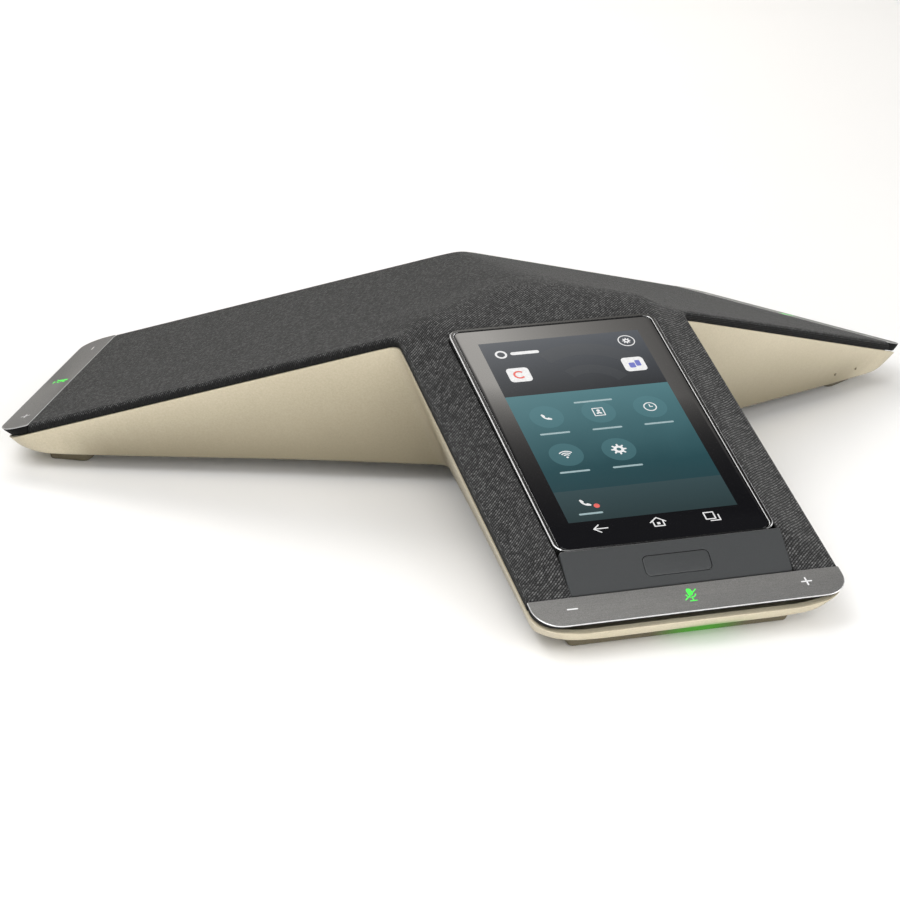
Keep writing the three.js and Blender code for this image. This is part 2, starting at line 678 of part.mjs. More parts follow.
// A tapered sound chamber whose rim carries the loudspeaker.
function speakerChamber() {
  const bottom = 15.5;
  const rim = FLANGE_BOTTOM - GAP - 1.5;
  return revolved([
    [0, bottom], [26, bottom], [41, rim], [41, rim + 0.6], [36.5, rim + 0.6], [38.2, rim - 1],
    [24.4, bottom + 2.2], [0, bottom + 2.2],
  ]);
}

function speakerGasket() {
  return revolved([[36.8, FLANGE_BOTTOM - 0.9], [40.6, FLANGE_BOTTOM - 0.9], [40.6, FLANGE_BOTTOM - GAP],
    [36.8, FLANGE_BOTTOM - GAP]]);
}

function speakerBasket() {
  const body = revolved([
    [SPEAKER_RADIUS, SPEAKER_FLANGE_TOP], [SPEAKER_RADIUS + 2, SPEAKER_FLANGE_TOP - 0.6],
    [SPEAKER_RADIUS + 2, FLANGE_BOTTOM], [34.5, FLANGE_BOTTOM], [22, MAGNET_TOP + GAP],
    [14.5, MAGNET_TOP + GAP], [14.5, MAGNET_TOP + GAP + 1.4], [21.2, MAGNET_TOP + GAP + 1.4],
    [33.2, FLANGE_BOTTOM + 0.6], [36.4, FLANGE_BOTTOM + 0.6], [36.4, SPEAKER_FLANGE_TOP],
  ]);
  const windows = [0, 1, 2, 3].map((turn) => {
    const opening = box(18, 40, 9, 0, 30, 48);
    return opening.rotateZ((turn * Math.PI) / 2);
  });
  return cut(body, ...windows);
}

// Magnet, back plate and pole piece with the ring gap that the voice coil moves in.
function speakerMagnet() {
  const floor = MAGNET_TOP - 12;
  return revolved([
    [0, floor - 4], [19, floor - 4], [22, floor - 2], [22, MAGNET_TOP], [13.5, MAGNET_TOP],
    [13.5, floor], [11.5, floor], [11.5, MAGNET_TOP], [10.5, MAGNET_TOP + 1], [0, MAGNET_TOP + 1],
  ]);
}

function speakerCone() {
  const wall = 0.6;
  const rim = FLANGE_BOTTOM + 1.4;
  return revolved([
    [0, 52.5], [9, 50.5], [COIL_RADIUS + 0.4, 48], [30.6, rim], [31.4, rim], [31.4, rim - wall],
    [30.9, rim - wall], [COIL_RADIUS + 0.4, 47], [COIL_RADIUS + 0.4, 34], [COIL_RADIUS - 0.4, 34],
    [COIL_RADIUS - 0.4, 47.6], [9, 49.8], [0, 51.8],
  ]);
}

function speakerSurround() {
  const rim = FLANGE_BOTTOM + 1.6;
  return revolved([
    [31.9, rim], [32.6, rim + 1.3], [34, rim + 1.9], [35.4, rim + 1.3], [36.1, rim],
    [35.3, rim], [34.8, rim + 0.8], [34, rim + 1.1], [33.2, rim + 0.8], [32.7, rim],
  ]);
}

function speakerSpider() {
  return revolved([
    [COIL_RADIUS + 0.8, 44.4], [15, 44.9], [17, 44.3], [19, 44.9], [21, 44.4],
    [21, 43.9], [19, 44.3], [17, 43.7], [15, 44.3], [COIL_RADIUS + 0.8, 43.8],
  ]);
}

// ---- Fasteners ------------------------------------------------------------------------------------
function housingScrew(at) {
  const head = upright(2.9, SCREW_SEAT - 2.6, SCREW_SEAT - GAP, at.x, at.y, 10);
  const shank = upright(1.3, SCREW_SEAT - 1, POST_TOP + 4.4, at.x, at.y, 8);
  const drive = upright(1.2, SCREW_SEAT - 4, SCREW_SEAT - 1.6, at.x, at.y, 6);
  return cut(join(head, shank), drive);
}

// ---- Assembly -------------------------------------------------------------------------------------
const phone = new THREE.Group();

function addPiece(name, geometry, finishName, parent = phone) {
  const mesh = new THREE.Mesh(geometry, FINISH[finishName]());
  mesh.name = name;
  parent.add(mesh);
}

function tiltedGroup(centre, tilt) {
  const group = new THREE.Group();
  group.position.copy(centre);
  group.rotation.x = tilt;
  phone.add(group);
  return group;
}

addPiece('lower_housing', lowerHousing(), 'champagne');
addPiece('top_frame', topFrame(), 'black');
addPiece('fabric_cover', fabricCover(), 'fabric');

Object.entries(ARMS).forEach(([arm, angle]) => {
  addPiece(`touch_strip_${arm}`, turnToArm(touchStrip(), angle), 'aluminium');
  addPiece(`strip_base_${arm}`, turnToArm(stripBase(), angle), 'black');
  addPiece(`touch_board_${arm}`, turnToArm(touchBoard(), angle), 'board');
  addPiece(`light_bar_${arm}`, turnToArm(lightBar(), angle), 'diffuser');
  addPiece(`foot_${arm}`, turnToArm(foot(), angle), 'rubber');
  addPiece(`microphone_${arm}`, turnToArm(microphone(), angle), 'board');
});

const display = tiltedGroup(DISPLAY_CENTRE, DISPLAY_TILT);
addPiece('display_bezel', displayBezel(), 'graphite', display);
addPiece('cover_glass', coverGlass(), 'glass', display);
addPiece('display_gasket', displayGasket(), 'rubber', display);
addPiece('display_panel', displayPanel(), 'panel', display);
addPiece('display_tray', displayTray(), 'steel');
addPiece('display_flex', displayFlex(), 'polyimide');

const chin = tiltedGroup(CHIN_CENTRE, CHIN_TILT);
addPiece('chin_plate', chinPlate(), 'graphite', chin);
addPiece('function_key', functionKey(), 'graphite', chin);
addPiece('key_switch', keySwitch(), 'board', chin);

addPiece('main_board', mainBoard(), 'board');
addPiece('shield_can', shieldCan(), 'steel');
addPiece('heat_spreader', heatSpreader(), 'aluminium');
Object.entries(SOCKETS).forEach(([name, dimensions]) => addPiece(name, socket(dimensions), 'steel'));
addPiece('port_bay', portBay(), 'black');
addPiece('strip_flex_front', flatFlex(), 'polyimide');
addPiece('strip_flex_right', slopedFlex(ARMS.right), 'polyimide');
addPiece('strip_flex_left', slopedFlex(ARMS.left), 'polyimide');
addPiece('antenna_right', antenna(ARMS.right), 'board');
addPiece('antenna_left', antenna(ARMS.left), 'board');

addPiece('speaker_chamber', speakerChamber(), 'black');
addPiece('speaker_gasket', speakerGasket(), 'rubber');
addPiece('speaker_basket', speakerBasket(), 'steel');
addPiece('speaker_magnet', speakerMagnet(), 'magnet');
addPiece('speaker_cone', speakerCone(), 'cone');
addPiece('speaker_surround', speakerSurround(), 'rubber');
addPiece('speaker_spider', speakerSpider(), 'cone');

screwPlaces().forEach(({ name, at }) => addPiece(name, housingScrew(at), 'steel'));

phone.updateMatrixWorld(true);
const footprint = new THREE.Box3().setFromObject(phone);
phone.position.y = -(footprint.min.y + footprint.max.y) / 2;

export default phone;
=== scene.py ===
"""Looks for a three-armed conference phone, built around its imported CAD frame.

Shapes are drawn in millimetres in small local frames and placed in the row frame in metres.
"""
import json
from math import atan, atan2, copysign, cos, exp, hypot, log, pi, radians, sin

import bmesh
import bpy
from mathutils import Matrix, Vector


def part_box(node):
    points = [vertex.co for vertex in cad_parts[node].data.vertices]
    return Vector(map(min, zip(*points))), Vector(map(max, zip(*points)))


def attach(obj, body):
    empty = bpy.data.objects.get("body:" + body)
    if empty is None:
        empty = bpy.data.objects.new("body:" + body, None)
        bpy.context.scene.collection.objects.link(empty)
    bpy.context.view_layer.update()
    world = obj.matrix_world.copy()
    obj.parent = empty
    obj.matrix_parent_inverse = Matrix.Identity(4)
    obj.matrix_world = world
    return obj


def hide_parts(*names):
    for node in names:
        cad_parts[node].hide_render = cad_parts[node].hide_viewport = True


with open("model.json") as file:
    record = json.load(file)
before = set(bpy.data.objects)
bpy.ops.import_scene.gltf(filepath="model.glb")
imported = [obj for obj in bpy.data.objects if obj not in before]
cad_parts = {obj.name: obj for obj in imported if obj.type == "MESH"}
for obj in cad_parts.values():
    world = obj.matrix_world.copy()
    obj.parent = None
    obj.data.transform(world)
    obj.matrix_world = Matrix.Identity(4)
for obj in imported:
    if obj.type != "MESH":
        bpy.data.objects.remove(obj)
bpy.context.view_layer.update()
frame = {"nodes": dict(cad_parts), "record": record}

# ---- Sizes read from the frame, in millimetres ----
MM = 0.001


def corners(node):
    low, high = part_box(node)
    return low / MM, high / MM


strip_low, strip_high = corners("touch_strip_front")
magnet_low, magnet_high = corners("speaker_magnet")
foot_high = corners("foot_front")[1]
light_low, light_high = corners("light_bar_front")
housing_low = corners("lower_housing")[0]
fabric_low = corners("fabric_cover")[0]

AXIS = Vector(((magnet_low.x + magnet_high.x) / 2, (magnet_low.y + magnet_high.y) / 2, 0))
ARM_REACH = AXIS.y - strip_low.y
ARM_HALF = strip_high.x
STRIP_START = AXIS.y - strip_high.y
FABRIC_END = AXIS.y - fabric_low.y
UNDERSIDE = housing_low.z
RIM_REACH = AXIS.y - housing_low.y
FOOT_FRONT = AXIS.y - light_low.y
FOOT_BACK = AXIS.y - foot_high.y
FOOT_HALF = foot_high.x
LIGHT_BACK = AXIS.y - light_high.y

# ---- Sizes of the body ----
ARMS = {"front": -90, "right": 30, "left": 150} # each arm's heading in degrees
HEADINGS = [radians(a) for a in ARMS.values()]
ARM_SLOPE = 0.3285
STRIP_CHAMFER = 0.4
PLANE_APEX = strip_high.z + ARM_SLOPE * (STRIP_START + STRIP_CHAMFER)
RIDGE_SOFT_CENTRE = 10
RIDGE_SOFT_NOTCH = 3
NOTCH_DISTANCE = ARM_HALF / sin(pi / 3)
CROWN = 4.5
CROWN_FLAT = 41
CROWN_FADE = 56
FABRIC = 1.4
RIM_HALF = 57.35
RIM_DROP = 3.95
WALL_LEAN = 0.417
NOSE_REACH = 187.0
SHELL_WALL = 2.7
SHELL_FLOOR = 2.5
SHADE_BAND_HEIGHT = 0.6 # the painted shade band on the walls, above the rounded bottom edge
WALL_PLUGS = ((FOOT_BACK - 10.3, UNDERSIDE + 5.1), (FOOT_BACK + 2.1, UNDERSIDE + 5)) # reach, height
SCREW_OFFSET = 34
SCREW_REACH = 148
SCREW_BORE = 3.4
PORT_LOW = (-25.3, -151.3, UNDERSIDE - 1)
PORT_HIGH = (25.3, -122.2, UNDERSIDE + 6)
GLOW_OFFSET = 7.3 # the green light under each tip
GLOW_SPREAD = 19
STRIP_CORNER = 9.6
STRIP_THICKNESS = 0.32
STRIP_EDGE = 0.22
SYMBOL_OFFSET = 43
SYMBOL_REACH = 184.6
SYMBOL_RISE = 0.02

# ---- Sizes of the display ----
DISPLAY_TILT = radians(18.74)
CHIN_TILT = radians(41)
GLASS_SIZE = (76.7, 125.1)
GLASS_SHIFT = 0.35
GLASS_RECESS = 0.3
BEZEL_SIZE = (80.5, 127.8)
BEZEL_DEPTH = 8.5
BEZEL_CORNER = 4.6
BEZEL_EXTRA = 1.2 # the frame's left side stands a little further out
NARROWER = 0.9 # how much narrower the frame's lower bar is
CHIN_SIZE = (82, 16.4)
KEY_SIZE = (24.3, 7.6)
KEY_CORNER = 1.8
KEY_GAP = 0.25

# ---- Overhead card, in metres ----
CARD_BRIGHT_X = 0.27
CARD_BRIGHT_Y = 0.585
CARD_FADE_X = 0.19
CARD_FADE_Y = 0.066
CARD_STRENGTH = 4.7

# ---- Local frames ----
BODY_FRAME = Matrix.Translation(AXIS)


def arm_frame(arm):
    """x runs across the arm and -y along it, as drawn on the front arm."""
    return BODY_FRAME @ Matrix.Rotation(radians(ARMS[arm] + 90), 4, "Z")


def tilted_frame(centre, tilt):
    return Matrix.Translation(centre) @ Matrix.Rotation(tilt, 4, "X")


def module_frame():
    """Frame of the display module: the middle of the bezel's top face."""
    low = corners("display_bezel")[0]
    half_run = BEZEL_SIZE[1] / 2
    back_top = low.z + BEZEL_DEPTH * cos(DISPLAY_TILT) + 2 * half_run * sin(DISPLAY_TILT)
    y = low.y + half_run * cos(DISPLAY_TILT)
    z = back_top - half_run * sin(DISPLAY_TILT)
    return tilted_frame(Vector((0, y, z)), DISPLAY_TILT)


def chin_frame():
    low, high = corners("chin_plate")
    half_run = CHIN_SIZE[1] / 2
    y = low.y + half_run * cos(CHIN_TILT)
    z = high.z - half_run * sin(CHIN_TILT)
    return tilted_frame(Vector((0, y, z)), CHIN_TILT)


# ---- Heights of the top surface ----
def lerp(a, b, t):
    return a + (b - a) * t


def rise(start, end, value):
    t = min(max((value - start) / (end - start), 0), 1)
    return t * t * (3 - 2 * t)


def plane_height(x, y):
    """Three sloping planes with their ridges rounded."""
    outward = min(hypot(x, y) / NOTCH_DISTANCE, 1)
    soft = lerp(RIDGE_SOFT_CENTRE, RIDGE_SOFT_NOTCH, outward)
    reaches = [x * cos(a) + y * sin(a) for a in HEADINGS]
    longest = max(reaches)
    excess = sum(exp((reach - longest) / soft) for reach in reaches)
    return PLANE_APEX - ARM_SLOPE * (longest + soft * log(excess))


def crown_height(x, y):
    across = 1 - rise(CROWN_FLAT, CROWN_FADE, abs(x))
    along = rise(-8, 42, -y) * (1 - rise(160, 178, -y))
    return CROWN * across * along


def cover_height(x, y):
    return plane_height(x, y) + crown_height(x, y)


# ---- Outlines ----
def half_outline(base, reach, corner, flare=0):
    """Half of an arm's outline as (s, r), from the inner corner to the middle of the tip."""
    notch, notch_steps, sides, corner_steps, ends = 6, 8, 24, 10, 16
    third = pi / 3
    lean = hypot(1, flare)
    tilt = atan(flare)
    centre = (base + notch * lean) / (sin(third) - flare * cos(third))
    points = []
    for i in range(notch_steps + 1):
        a = lerp(pi / 6, -tilt, i / notch_steps)
        points.append((centre * sin(third) - notch * cos(a),
                       centre * cos(third) - notch * sin(a)))
    corner_s = base + flare * (reach - corner) - corner * lean
    side_start = points[-1][1]
    side_end = reach - corner - corner * sin(tilt)
    for i in range(1, sides):
        r = lerp(side_start, side_end, i / sides)
        points.append((base + flare * r, r))
    for i in range(corner_steps + 1):
        a = lerp(-tilt, pi / 2, i / corner_steps)
        points.append((corner_s + corner * cos(a), reach - corner + corner * sin(a)))
    end_half = points[-1][0]
    for i in range(1, ends + 1):
        points.append((end_half * (1 - i / ends), reach))
    return points


def arm_outline(**options):
    """The three-armed outline about the axis, anticlockwise from above."""
    half = half_outline(**options)
    loop = [(-s, r) for s, r in half] + half[-2:0:-1]
    outline = []
    for a in HEADINGS:
        outline += [(r * cos(a) - s * sin(a), r * sin(a) + s * cos(a)) for s, r in loop]
    return outline


def lifted(outline, height):
    return [Vector((x, y, height(x, y) if callable(height) else height)) for x, y in outline]


def circle(x, y, radius, steps):
    turns = [2 * pi * i / steps for i in range(steps)]
    return [(x + radius * cos(a), y + radius * sin(a)) for a in turns]


def rounded_rectangle(width, length, radius, steps=8):
    radius = max(radius, 0.01)
    points = []
    for quarter, (sx, sy) in enumerate(((1, 1), (-1, 1), (-1, -1), (1, -1))):
        for i in range(steps + 1):
            a = pi / 2 * (quarter + i / steps)
            points.append((sx * (width / 2 - radius) + radius * cos(a),
                           sy * (length / 2 - radius) + radius * sin(a)))
    return points


# ---- Meshes ----
def loft(rings, fan=False, wrap=False):
    """Vertices and faces of a closed body through rings of equal point count."""
    count = len(rings[0])
    points = [Vector(p) for ring in rings for p in ring]
    faces = []
    last = len(rings) - 1
    for k in range(last + 1 if wrap else last):
        low, high = k * count, (k + 1) % (last + 1) * count
        for i in range(count):
            j = (i + 1) % count
            faces.append((low + i, low + j, high + j, high + i))
    if wrap:
        return points, faces
    start = last * count
    if fan:
        for base, flip in ((0, True), (start, False)):
            centre = len(points)
            points.append(Vector((0, 0, fan[0] if flip else fan[1])))
            for i in range(count):
                j = (i + 1) % count
                faces.append((centre, base + j, base + i) if flip else (centre, base + i, base + j))
    else:
        faces.append(tuple(range(count - 1, -1, -1)))
        faces.append(tuple(range(start, start + count)))
    return points, faces


def prism(outline, bottom, top):
    return loft([lifted(outline, bottom), lifted(outline, top)])


def plate_rings(width, length, radius, layers, steps=8):
    """Rings of a rounded plate; each layer is (inset, height)."""
    return [lifted(rounded_rectangle(width - 2 * inset, length - 2 * inset, radius - inset, steps), height)
            for inset, height in layers]


def rounded_edge(bottom, top, edge, steps=4):
    """Layers of a plate whose upper edge is rounded and whose lower edge is square."""
    layers = [(0, bottom)]
    for i in range(steps + 1):
        a = pi / 2 * i / steps
        layers.append((edge * (1 - cos(a)), top - edge * (1 - sin(a))))
    return layers


def linked(name, data):
    """A new object in the scene."""
    obj = bpy.data.objects.new(name, data)
    bpy.context.scene.collection.objects.link(obj)
    return obj


def new_object(name, points, faces, place):
    mesh = bpy.data.meshes.new(name)
    mesh.from_pydata([(place @ p) * MM for p in points], [], faces)
    mesh.validate()
    work = bmesh.new()
    work.from_mesh(mesh)
    bmesh.ops.remove_doubles(work, verts=work.verts, dist=1e-7)
    bmesh.ops.recalc_face_normals(work, faces=work.faces)
    work.to_mesh(mesh)
    work.free()
    return linked(name, mesh)


def carve(obj, cutters):
    """Takes cutters out of obj and removes them."""
    for cutter in cutters:
        modifier = obj.modifiers.new("cut", "BOOLEAN")
        modifier.object = cutter
        modifier.solver = "MANIFOLD"
    graph = bpy.context.evaluated_depsgraph_get()
    graph.update()
    carved = bpy.data.meshes.new_from_object(obj.evaluated_get(graph))
    obj.modifiers.clear()
    obj.data = carved
    for cutter in cutters:
        bpy.data.objects.remove(cutter)


def store(obj, name, values, domain="POINT"):
    """Stores a number or a vector with each point or face."""
    vectors = isinstance(values[0], Vector)
    attribute = obj.data.attributes.new(name, "FLOAT_VECTOR" if vectors else "FLOAT", domain)
    if vectors:
        attribute.data.foreach_set("vector", [component for value in values for component in value])
    else:
        attribute.data.foreach_set("value", values)


def local_points(obj, place):
    inverse = place.inverted()
    return [inverse @ (v.co / MM) for v in obj.data.vertices]


def dress(obj, place, finish, slot=None, body="phone", stands_for=(), smooth=35):
    """Shades obj, records each point's place in its local frame, and hangs obj on its body."""
    obj.data.shade_smooth()
    obj.data.set_sharp_from_angle(angle=radians(smooth))
    store(obj, "place", local_points(obj, place))
    obj.data.materials.clear()
    obj.data.materials.append(MATERIALS[finish])
    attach(obj, body)
    if stands_for:
        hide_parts(*stands_for)
    return obj


def piece(name, shape, place, finish, slot=None, **options):
    """A finished piece from loft() output; stands for the CAD node of its own name if there is one."""
    obj = new_object(name + "_skin" if name in frame["nodes"] else name, *shape, place)
    if name in frame["nodes"]:
        options.setdefault("stands_for", (name,))
    return dress(obj, place, finish, slot, **options)


def mark_edges(obj, sideways=0.0):
    """Marks slanting faces between a plate's flat face and its sides, if they face sideways enough, for a
    painted highlight.
    """
    edges = [float(0.35 < face.normal.z < 0.94 and abs(face.normal.x) >= sideways)
             for face in obj.data.polygons]
    store(obj, "edge", edges, "FACE")


def block(low, high, place):
    """A plain box used only as a cutting tool."""
    (x0, y0, z0), (x1, y1, z1) = low, high
    return new_object("cutter", *prism([(x0, y0), (x1, y0), (x1, y1), (x0, y1)], z0, z1), place)


def round_cutter(radius, bottom, top, x, y, place):
    return new_object("cutter", *prism(circle(x, y, radius, 40), bottom, top), place)


# ---- Material nodes ----
class Shader:
    """A material's node tree with short ways to add nodes."""

    def __init__(self, name, **values):
        self.material = bpy.data.materials.new(name)
        self.material.use_nodes = True
        self.tree = self.material.node_tree
        self.surface = self.tree.nodes["Principled BSDF"]
        self.paint(**values)

    def set(self, node, values):
        for key, value in values.items():
            socket = node.inputs[key if isinstance(key, int) else key.replace("_", " ")]
            if isinstance(value, bpy.types.NodeSocket):
                self.tree.links.new(value, socket)
            else:
                socket.default_value = value

    def paint(self, **values):
        """Sets or links inputs of the surface."""
        self.set(self.surface, values)

    def add(self, kind, inputs=None, output=0, **properties):
        node = self.tree.nodes.new("ShaderNode" + kind)
        for key, value in properties.items():
            setattr(node, key, value)
        self.set(node, inputs or {})
        return node.outputs[output]

    def math(self, operation, a, b=0.0, c=0.0):
        return self.add("Math", {0: a, 1: b, 2: c}, operation=operation)

    def split(self, vector):
        """A vector's three components."""
        return self.add("SeparateXYZ", {0: vector}).node.outputs

    def mark(self, name):
        """A number stored with the mesh."""
        return self.add("Attribute", output=2, attribute_name=name)

    def times(self, a, b, plus=0.0):
        return self.math("MULTIPLY_ADD", a, b, plus)

    def place(self, scale=(1, 1, 1)):
        """The point's place in its local frame, in millimetres."""
        vector = self.add("Attribute", output=1, attribute_name="place")
        return self.add("Mapping", {"Vector": vector, "Scale": scale})

    def world(self, scale=1000):
        """The point's place in the row frame, in millimetres by default."""
        vector = self.add("TexCoord", output=3)
        return self.add("Mapping", {"Vector": vector, "Scale": (scale, scale, scale)})

    def noise(self, vector, scale, detail=2.0, roughness=0.5):
        values = {"Vector": vector, "Scale": scale, "Detail": detail, "Roughness": roughness}
        return self.add("TexNoise", values)

    def ramp(self, factor, *stops):
        node = self.tree.nodes.new("ShaderNodeValToRGB")
        elements = node.color_ramp.elements
        while len(elements) < len(stops):
            elements.new(0.5)
        for element, (position, shade) in zip(elements, stops):
            element.position = position
            element.color = (*shade, 1)
        self.tree.links.new(factor, node.inputs[0])
        return node.outputs[0]

    def mix(self, factor, a, b):
        node = self.tree.nodes.new("ShaderNodeMix")
        node.data_type = "RGBA"
        self.set(node, {0: factor, 6: a, 7: b})
        return node.outputs[2]

    def range(self, value, low, high, to_low=0.0, to_high=1.0, smooth=False):
        values = {"Value": value, "From Min": low, "From Max": high, "To Min": to_low, "To Max": to_high}
        return self.add("MapRange", values, interpolation_type="SMOOTHSTEP" if smooth else "LINEAR")

    def bump(self, height, distance, strength=1.0):
        """Bump whose distance is in millimetres."""
        normal = self.add("Bump", {"Height": height, "Distance": distance * MM, "Strength": strength})
        self.paint(Normal=normal)


def grey(value):
    return (value, value, value, 1)


def color(r, g, b):
    return (r, g, b, 1)


def fabric_material():
    """Charcoal twill: fine slanting rows of short bright threads over black, with painted shade where it
    turns down over the edges.
    """
    pitch, stitch, turn = 0.86, 1.12, radians(50)

    def wave(value, power):
        return sh.math("POWER", sh.math("SINE", sh.times(sh.math("FRACT", value), pi)), power)

    sh = Shader("charcoal_twill", Roughness=0.95, Sheen_Roughness=0.45, Specular_IOR_Level=0.3)
    base = sh.add("Attribute", output=1, attribute_name="weave")
    wobble = sh.noise(base, 0.9)
    jitter = sh.times(sh.math("SUBTRACT", wobble, 0.5), 0.22)
    x, y, _ = sh.split(base)
    cosine, sine = cos(turn), sin(turn)
    across = sh.times(x, cosine / pitch, sh.times(y, -sine / pitch))
    along = sh.times(x, sine / stitch, sh.times(y, cosine / stitch))
    across = sh.math("ADD", across, jitter)
    rib = sh.math("FLOOR", across)
    along = sh.times(rib, 0.37, along)
    cell = sh.add("CombineXYZ", {0: rib, 1: sh.math("FLOOR", along)})
    relief = sh.times(wave(across, 1.8), wave(along, 0.5))
    shade = sh.add("TexWhiteNoise", {"Vector": cell}, noise_dimensions="2D")
    heather = sh.range(sh.noise(base, 0.62, 4.0, 0.75), 0.3, 0.7)
    tone = sh.times(shade, 0.5, sh.times(heather, 0.5))
    thread = sh.ramp(tone, (0.2, (0.022, 0.022, 0.023)), (0.5, (0.059, 0.059, 0.060)),
                     (0.8, (0.142, 0.142, 0.141)))
    cloth = sh.mix(relief, color(0.001, 0.001, 0.001), thread)
    # painted shade: the cloth is darkened nearly to black where it turns down over an edge, with less sheen
    # there
    turned = sh.mark("turned")
    cloth = sh.mix(sh.times(turned, 0.92), cloth, color(0.003, 0.003, 0.003))
    sh.paint(Base_Color=cloth, Sheen_Tint=color(0.8, 0.8, 0.78))
    sh.paint(Sheen_Weight=sh.range(turned, 0, 1, 0.13, 0.01))
    fuzz = sh.noise(base, 9.0, 3.0, 0.7)
    sh.bump(sh.times(fuzz, 0.35, relief), 0.16, 0.9)
    return sh.material


def champagne_material():
    """Satin champagne coat: fine grain, a painted shade band at the bottom edge, painted green light at the
    tips.
    """
    sh = Shader("champagne_coat", Metallic=0.15, IOR=1.45)
    base = sh.world()
    grain = sh.noise(base, 1.3, 5.0, 0.75)
    drift = sh.noise(base, 0.02)
    tone = sh.times(grain, 0.7, sh.times(drift, 0.3))
    coat = sh.ramp(tone, (0.32, (0.44, 0.388, 0.28)), (0.68, (0.575, 0.515, 0.385)))
    # painted shade: the coat is darkened along the rounded bottom edge
    band = sh.times(sh.mark("band"), 0.75)
    coat = sh.mix(band, coat, color(0.15, 0.125, 0.072))
    rough = sh.range(grain, 0.3, 0.7, 0.38, 0.52)
    # painted light: green spill from the light bar, painted on the lower noses as colour and emission
    glow = sh.mark("glow")
    green = sh.mix(glow, coat, color(0.05, 0.13, 0.02))
    sh.paint(Base_Color=green, Roughness=rough)
    sh.paint(Emission_Color=color(0.03, 0.17, 0.008), Emission_Strength=glow)
    sh.bump(grain, 0.02, 0.5)
    return sh.material


def brushed_material(name, light, edge):
    """Dark speckled metal with a trace of brushing, and edges with a polish and a painted highlight."""
    sh = Shader(name, Anisotropic=0.25)
    lines = sh.noise(sh.place((0.08, 3.4, 1.0)), 1.0, 4.0, 0.7)
    speckle = sh.noise(sh.place(), 2.6, 3.0, 0.75)
    tone = sh.times(lines, 0.3, sh.times(speckle, 0.7))
    shade = sh.ramp(tone, (0.3, (light * 0.62,) * 3), (0.7, (light * 1.34, light * 1.33, light * 1.3)))
    # painted highlight: marked edge faces get a light grey base colour and less metal, on top of a real
    # polish (lower roughness)
    polish_and_highlight = sh.mark("edge")
    rough = sh.times(polish_and_highlight, -0.2, sh.range(lines, 0.3, 0.7, 0.38, 0.52))
    sh.paint(Base_Color=sh.mix(polish_and_highlight, shade, grey(edge)), Roughness=rough)
    sh.paint(Metallic=sh.range(polish_and_highlight, 0, 1, 0.75, 0.25))
    sh.bump(speckle, 0.012, 0.6)
    return sh.material


def plastic_material(name, dark, light, roughness, grain=1.8, relief=0.015, specular=0.5):
    """Moulded plastic with fine spark texture."""
    sh = Shader(name, Specular_IOR_Level=specular)
    texture = sh.noise(sh.world(), grain, 4.0, 0.7)
    shade = sh.ramp(texture, (0.3, dark), (0.7, light))
    rough = sh.range(texture, 0.3, 0.7, roughness - 0.05, roughness + 0.07)
    sh.paint(Base_Color=shade, Roughness=rough)
    sh.bump(texture, relief, 0.7)
    return sh.material


def bezel_material():
    """Glossy black frame with a painted highlight line along the slanting edge faces of its long sides."""
    sh = Shader("bezel_black", IOR=1.5)
    film = sh.noise(sh.place(), 0.8, 3.0, 0.6)
    line = sh.mark("edge")
    dark = sh.ramp(film, (0.3, (0.006, 0.006, 0.006)), (0.7, (0.010, 0.010, 0.010)))
    # painted highlight: the marked edge faces get a light grey base colour, a little metal and more
    # roughness
    sh.paint(Base_Color=sh.mix(line, dark, grey(0.75)))
    rough = sh.times(line, 0.3, sh.range(film, 0.35, 0.65, 0.12, 0.2))
    sh.paint(Roughness=rough, Metallic=sh.times(line, 0.3))
    return sh.material


def glass_material():
    """Black cover glass with the slightest oil film."""
    sh = Shader("cover_glass_black", Base_Color=color(0.004, 0.004, 0.005), IOR=1.5)
    film = sh.noise(sh.place(), 0.05, 4.0, 0.6)
    sh.paint(Roughness=sh.range(film, 0.4, 0.7, 0.03, 0.09))
    return sh.material


def lit_material(name, stops, span):
    """A lit area of the display under glass; stops run up it over a span of heights."""
    sh = Shader(name, Base_Color=color(0.002, 0.002, 0.002), Roughness=0.05, IOR=1.5)
    along = sh.range(sh.split(sh.place())[1], *span)
    soft = sh.noise(sh.place(), 0.06)
    factor = sh.times(sh.math("SUBTRACT", soft, 0.5), 0.12, along)
    sh.paint(Emission_Color=sh.ramp(factor, *stops), Emission_Strength=1.0)
    return sh.material


def lamp_material(name, tone, strength, base=(0.02, 0.02, 0.02, 1)):
    """A lit symbol, brighter at its heart."""
    sh = Shader(name, Base_Color=base, Roughness=0.3)
    flicker = sh.noise(sh.place(), 1.2)
    sh.paint(Emission_Color=tone)
    sh.paint(Emission_Strength=sh.range(flicker, 0.2, 0.8, 0.85 * strength, 1.15 * strength))
    return sh.material


def diffuser_material():
    """Olive light guide, faintly lit green about the lamp behind it."""
    sh = Shader("light_guide", Roughness=0.5)
    away = sh.math("ABSOLUTE", sh.math("SUBTRACT", sh.split(sh.place())[0], GLOW_OFFSET))
    glow = sh.range(away, GLOW_SPREAD, 2, smooth=True)
    frost = sh.noise(sh.place(), 1.5, 3.0)
    plain = sh.ramp(frost, (0.3, (0.115, 0.098, 0.060)), (0.7, (0.150, 0.129, 0.082)))
    sh.paint(Base_Color=sh.mix(glow, plain, color(0.04, 0.13, 0.02)))
    sh.paint(Emission_Color=color(0.028, 0.17, 0.008), Emission_Strength=glow)
    return sh.material


def board_material():
    """Green solder mask over faint copper tracks."""
    sh = Shader("solder_mask", Roughness=0.35)
    base = sh.world()
    tracks = sh.add("TexBrick", {"Vector": base, "Scale": 0.35, "Mortar_Size": 0.03}, output=1)
    mottling = sh.noise(base, 0.4, 3.0)
    mask = sh.ramp(mottling, (0.3, (0.008, 0.07, 0.03)), (0.7, (0.015, 0.11, 0.05)))
    sh.paint(Base_Color=sh.mix(tracks, mask, color(0.03, 0.2, 0.09)))
    sh.bump(tracks, 0.05, 0.5)
    return sh.material


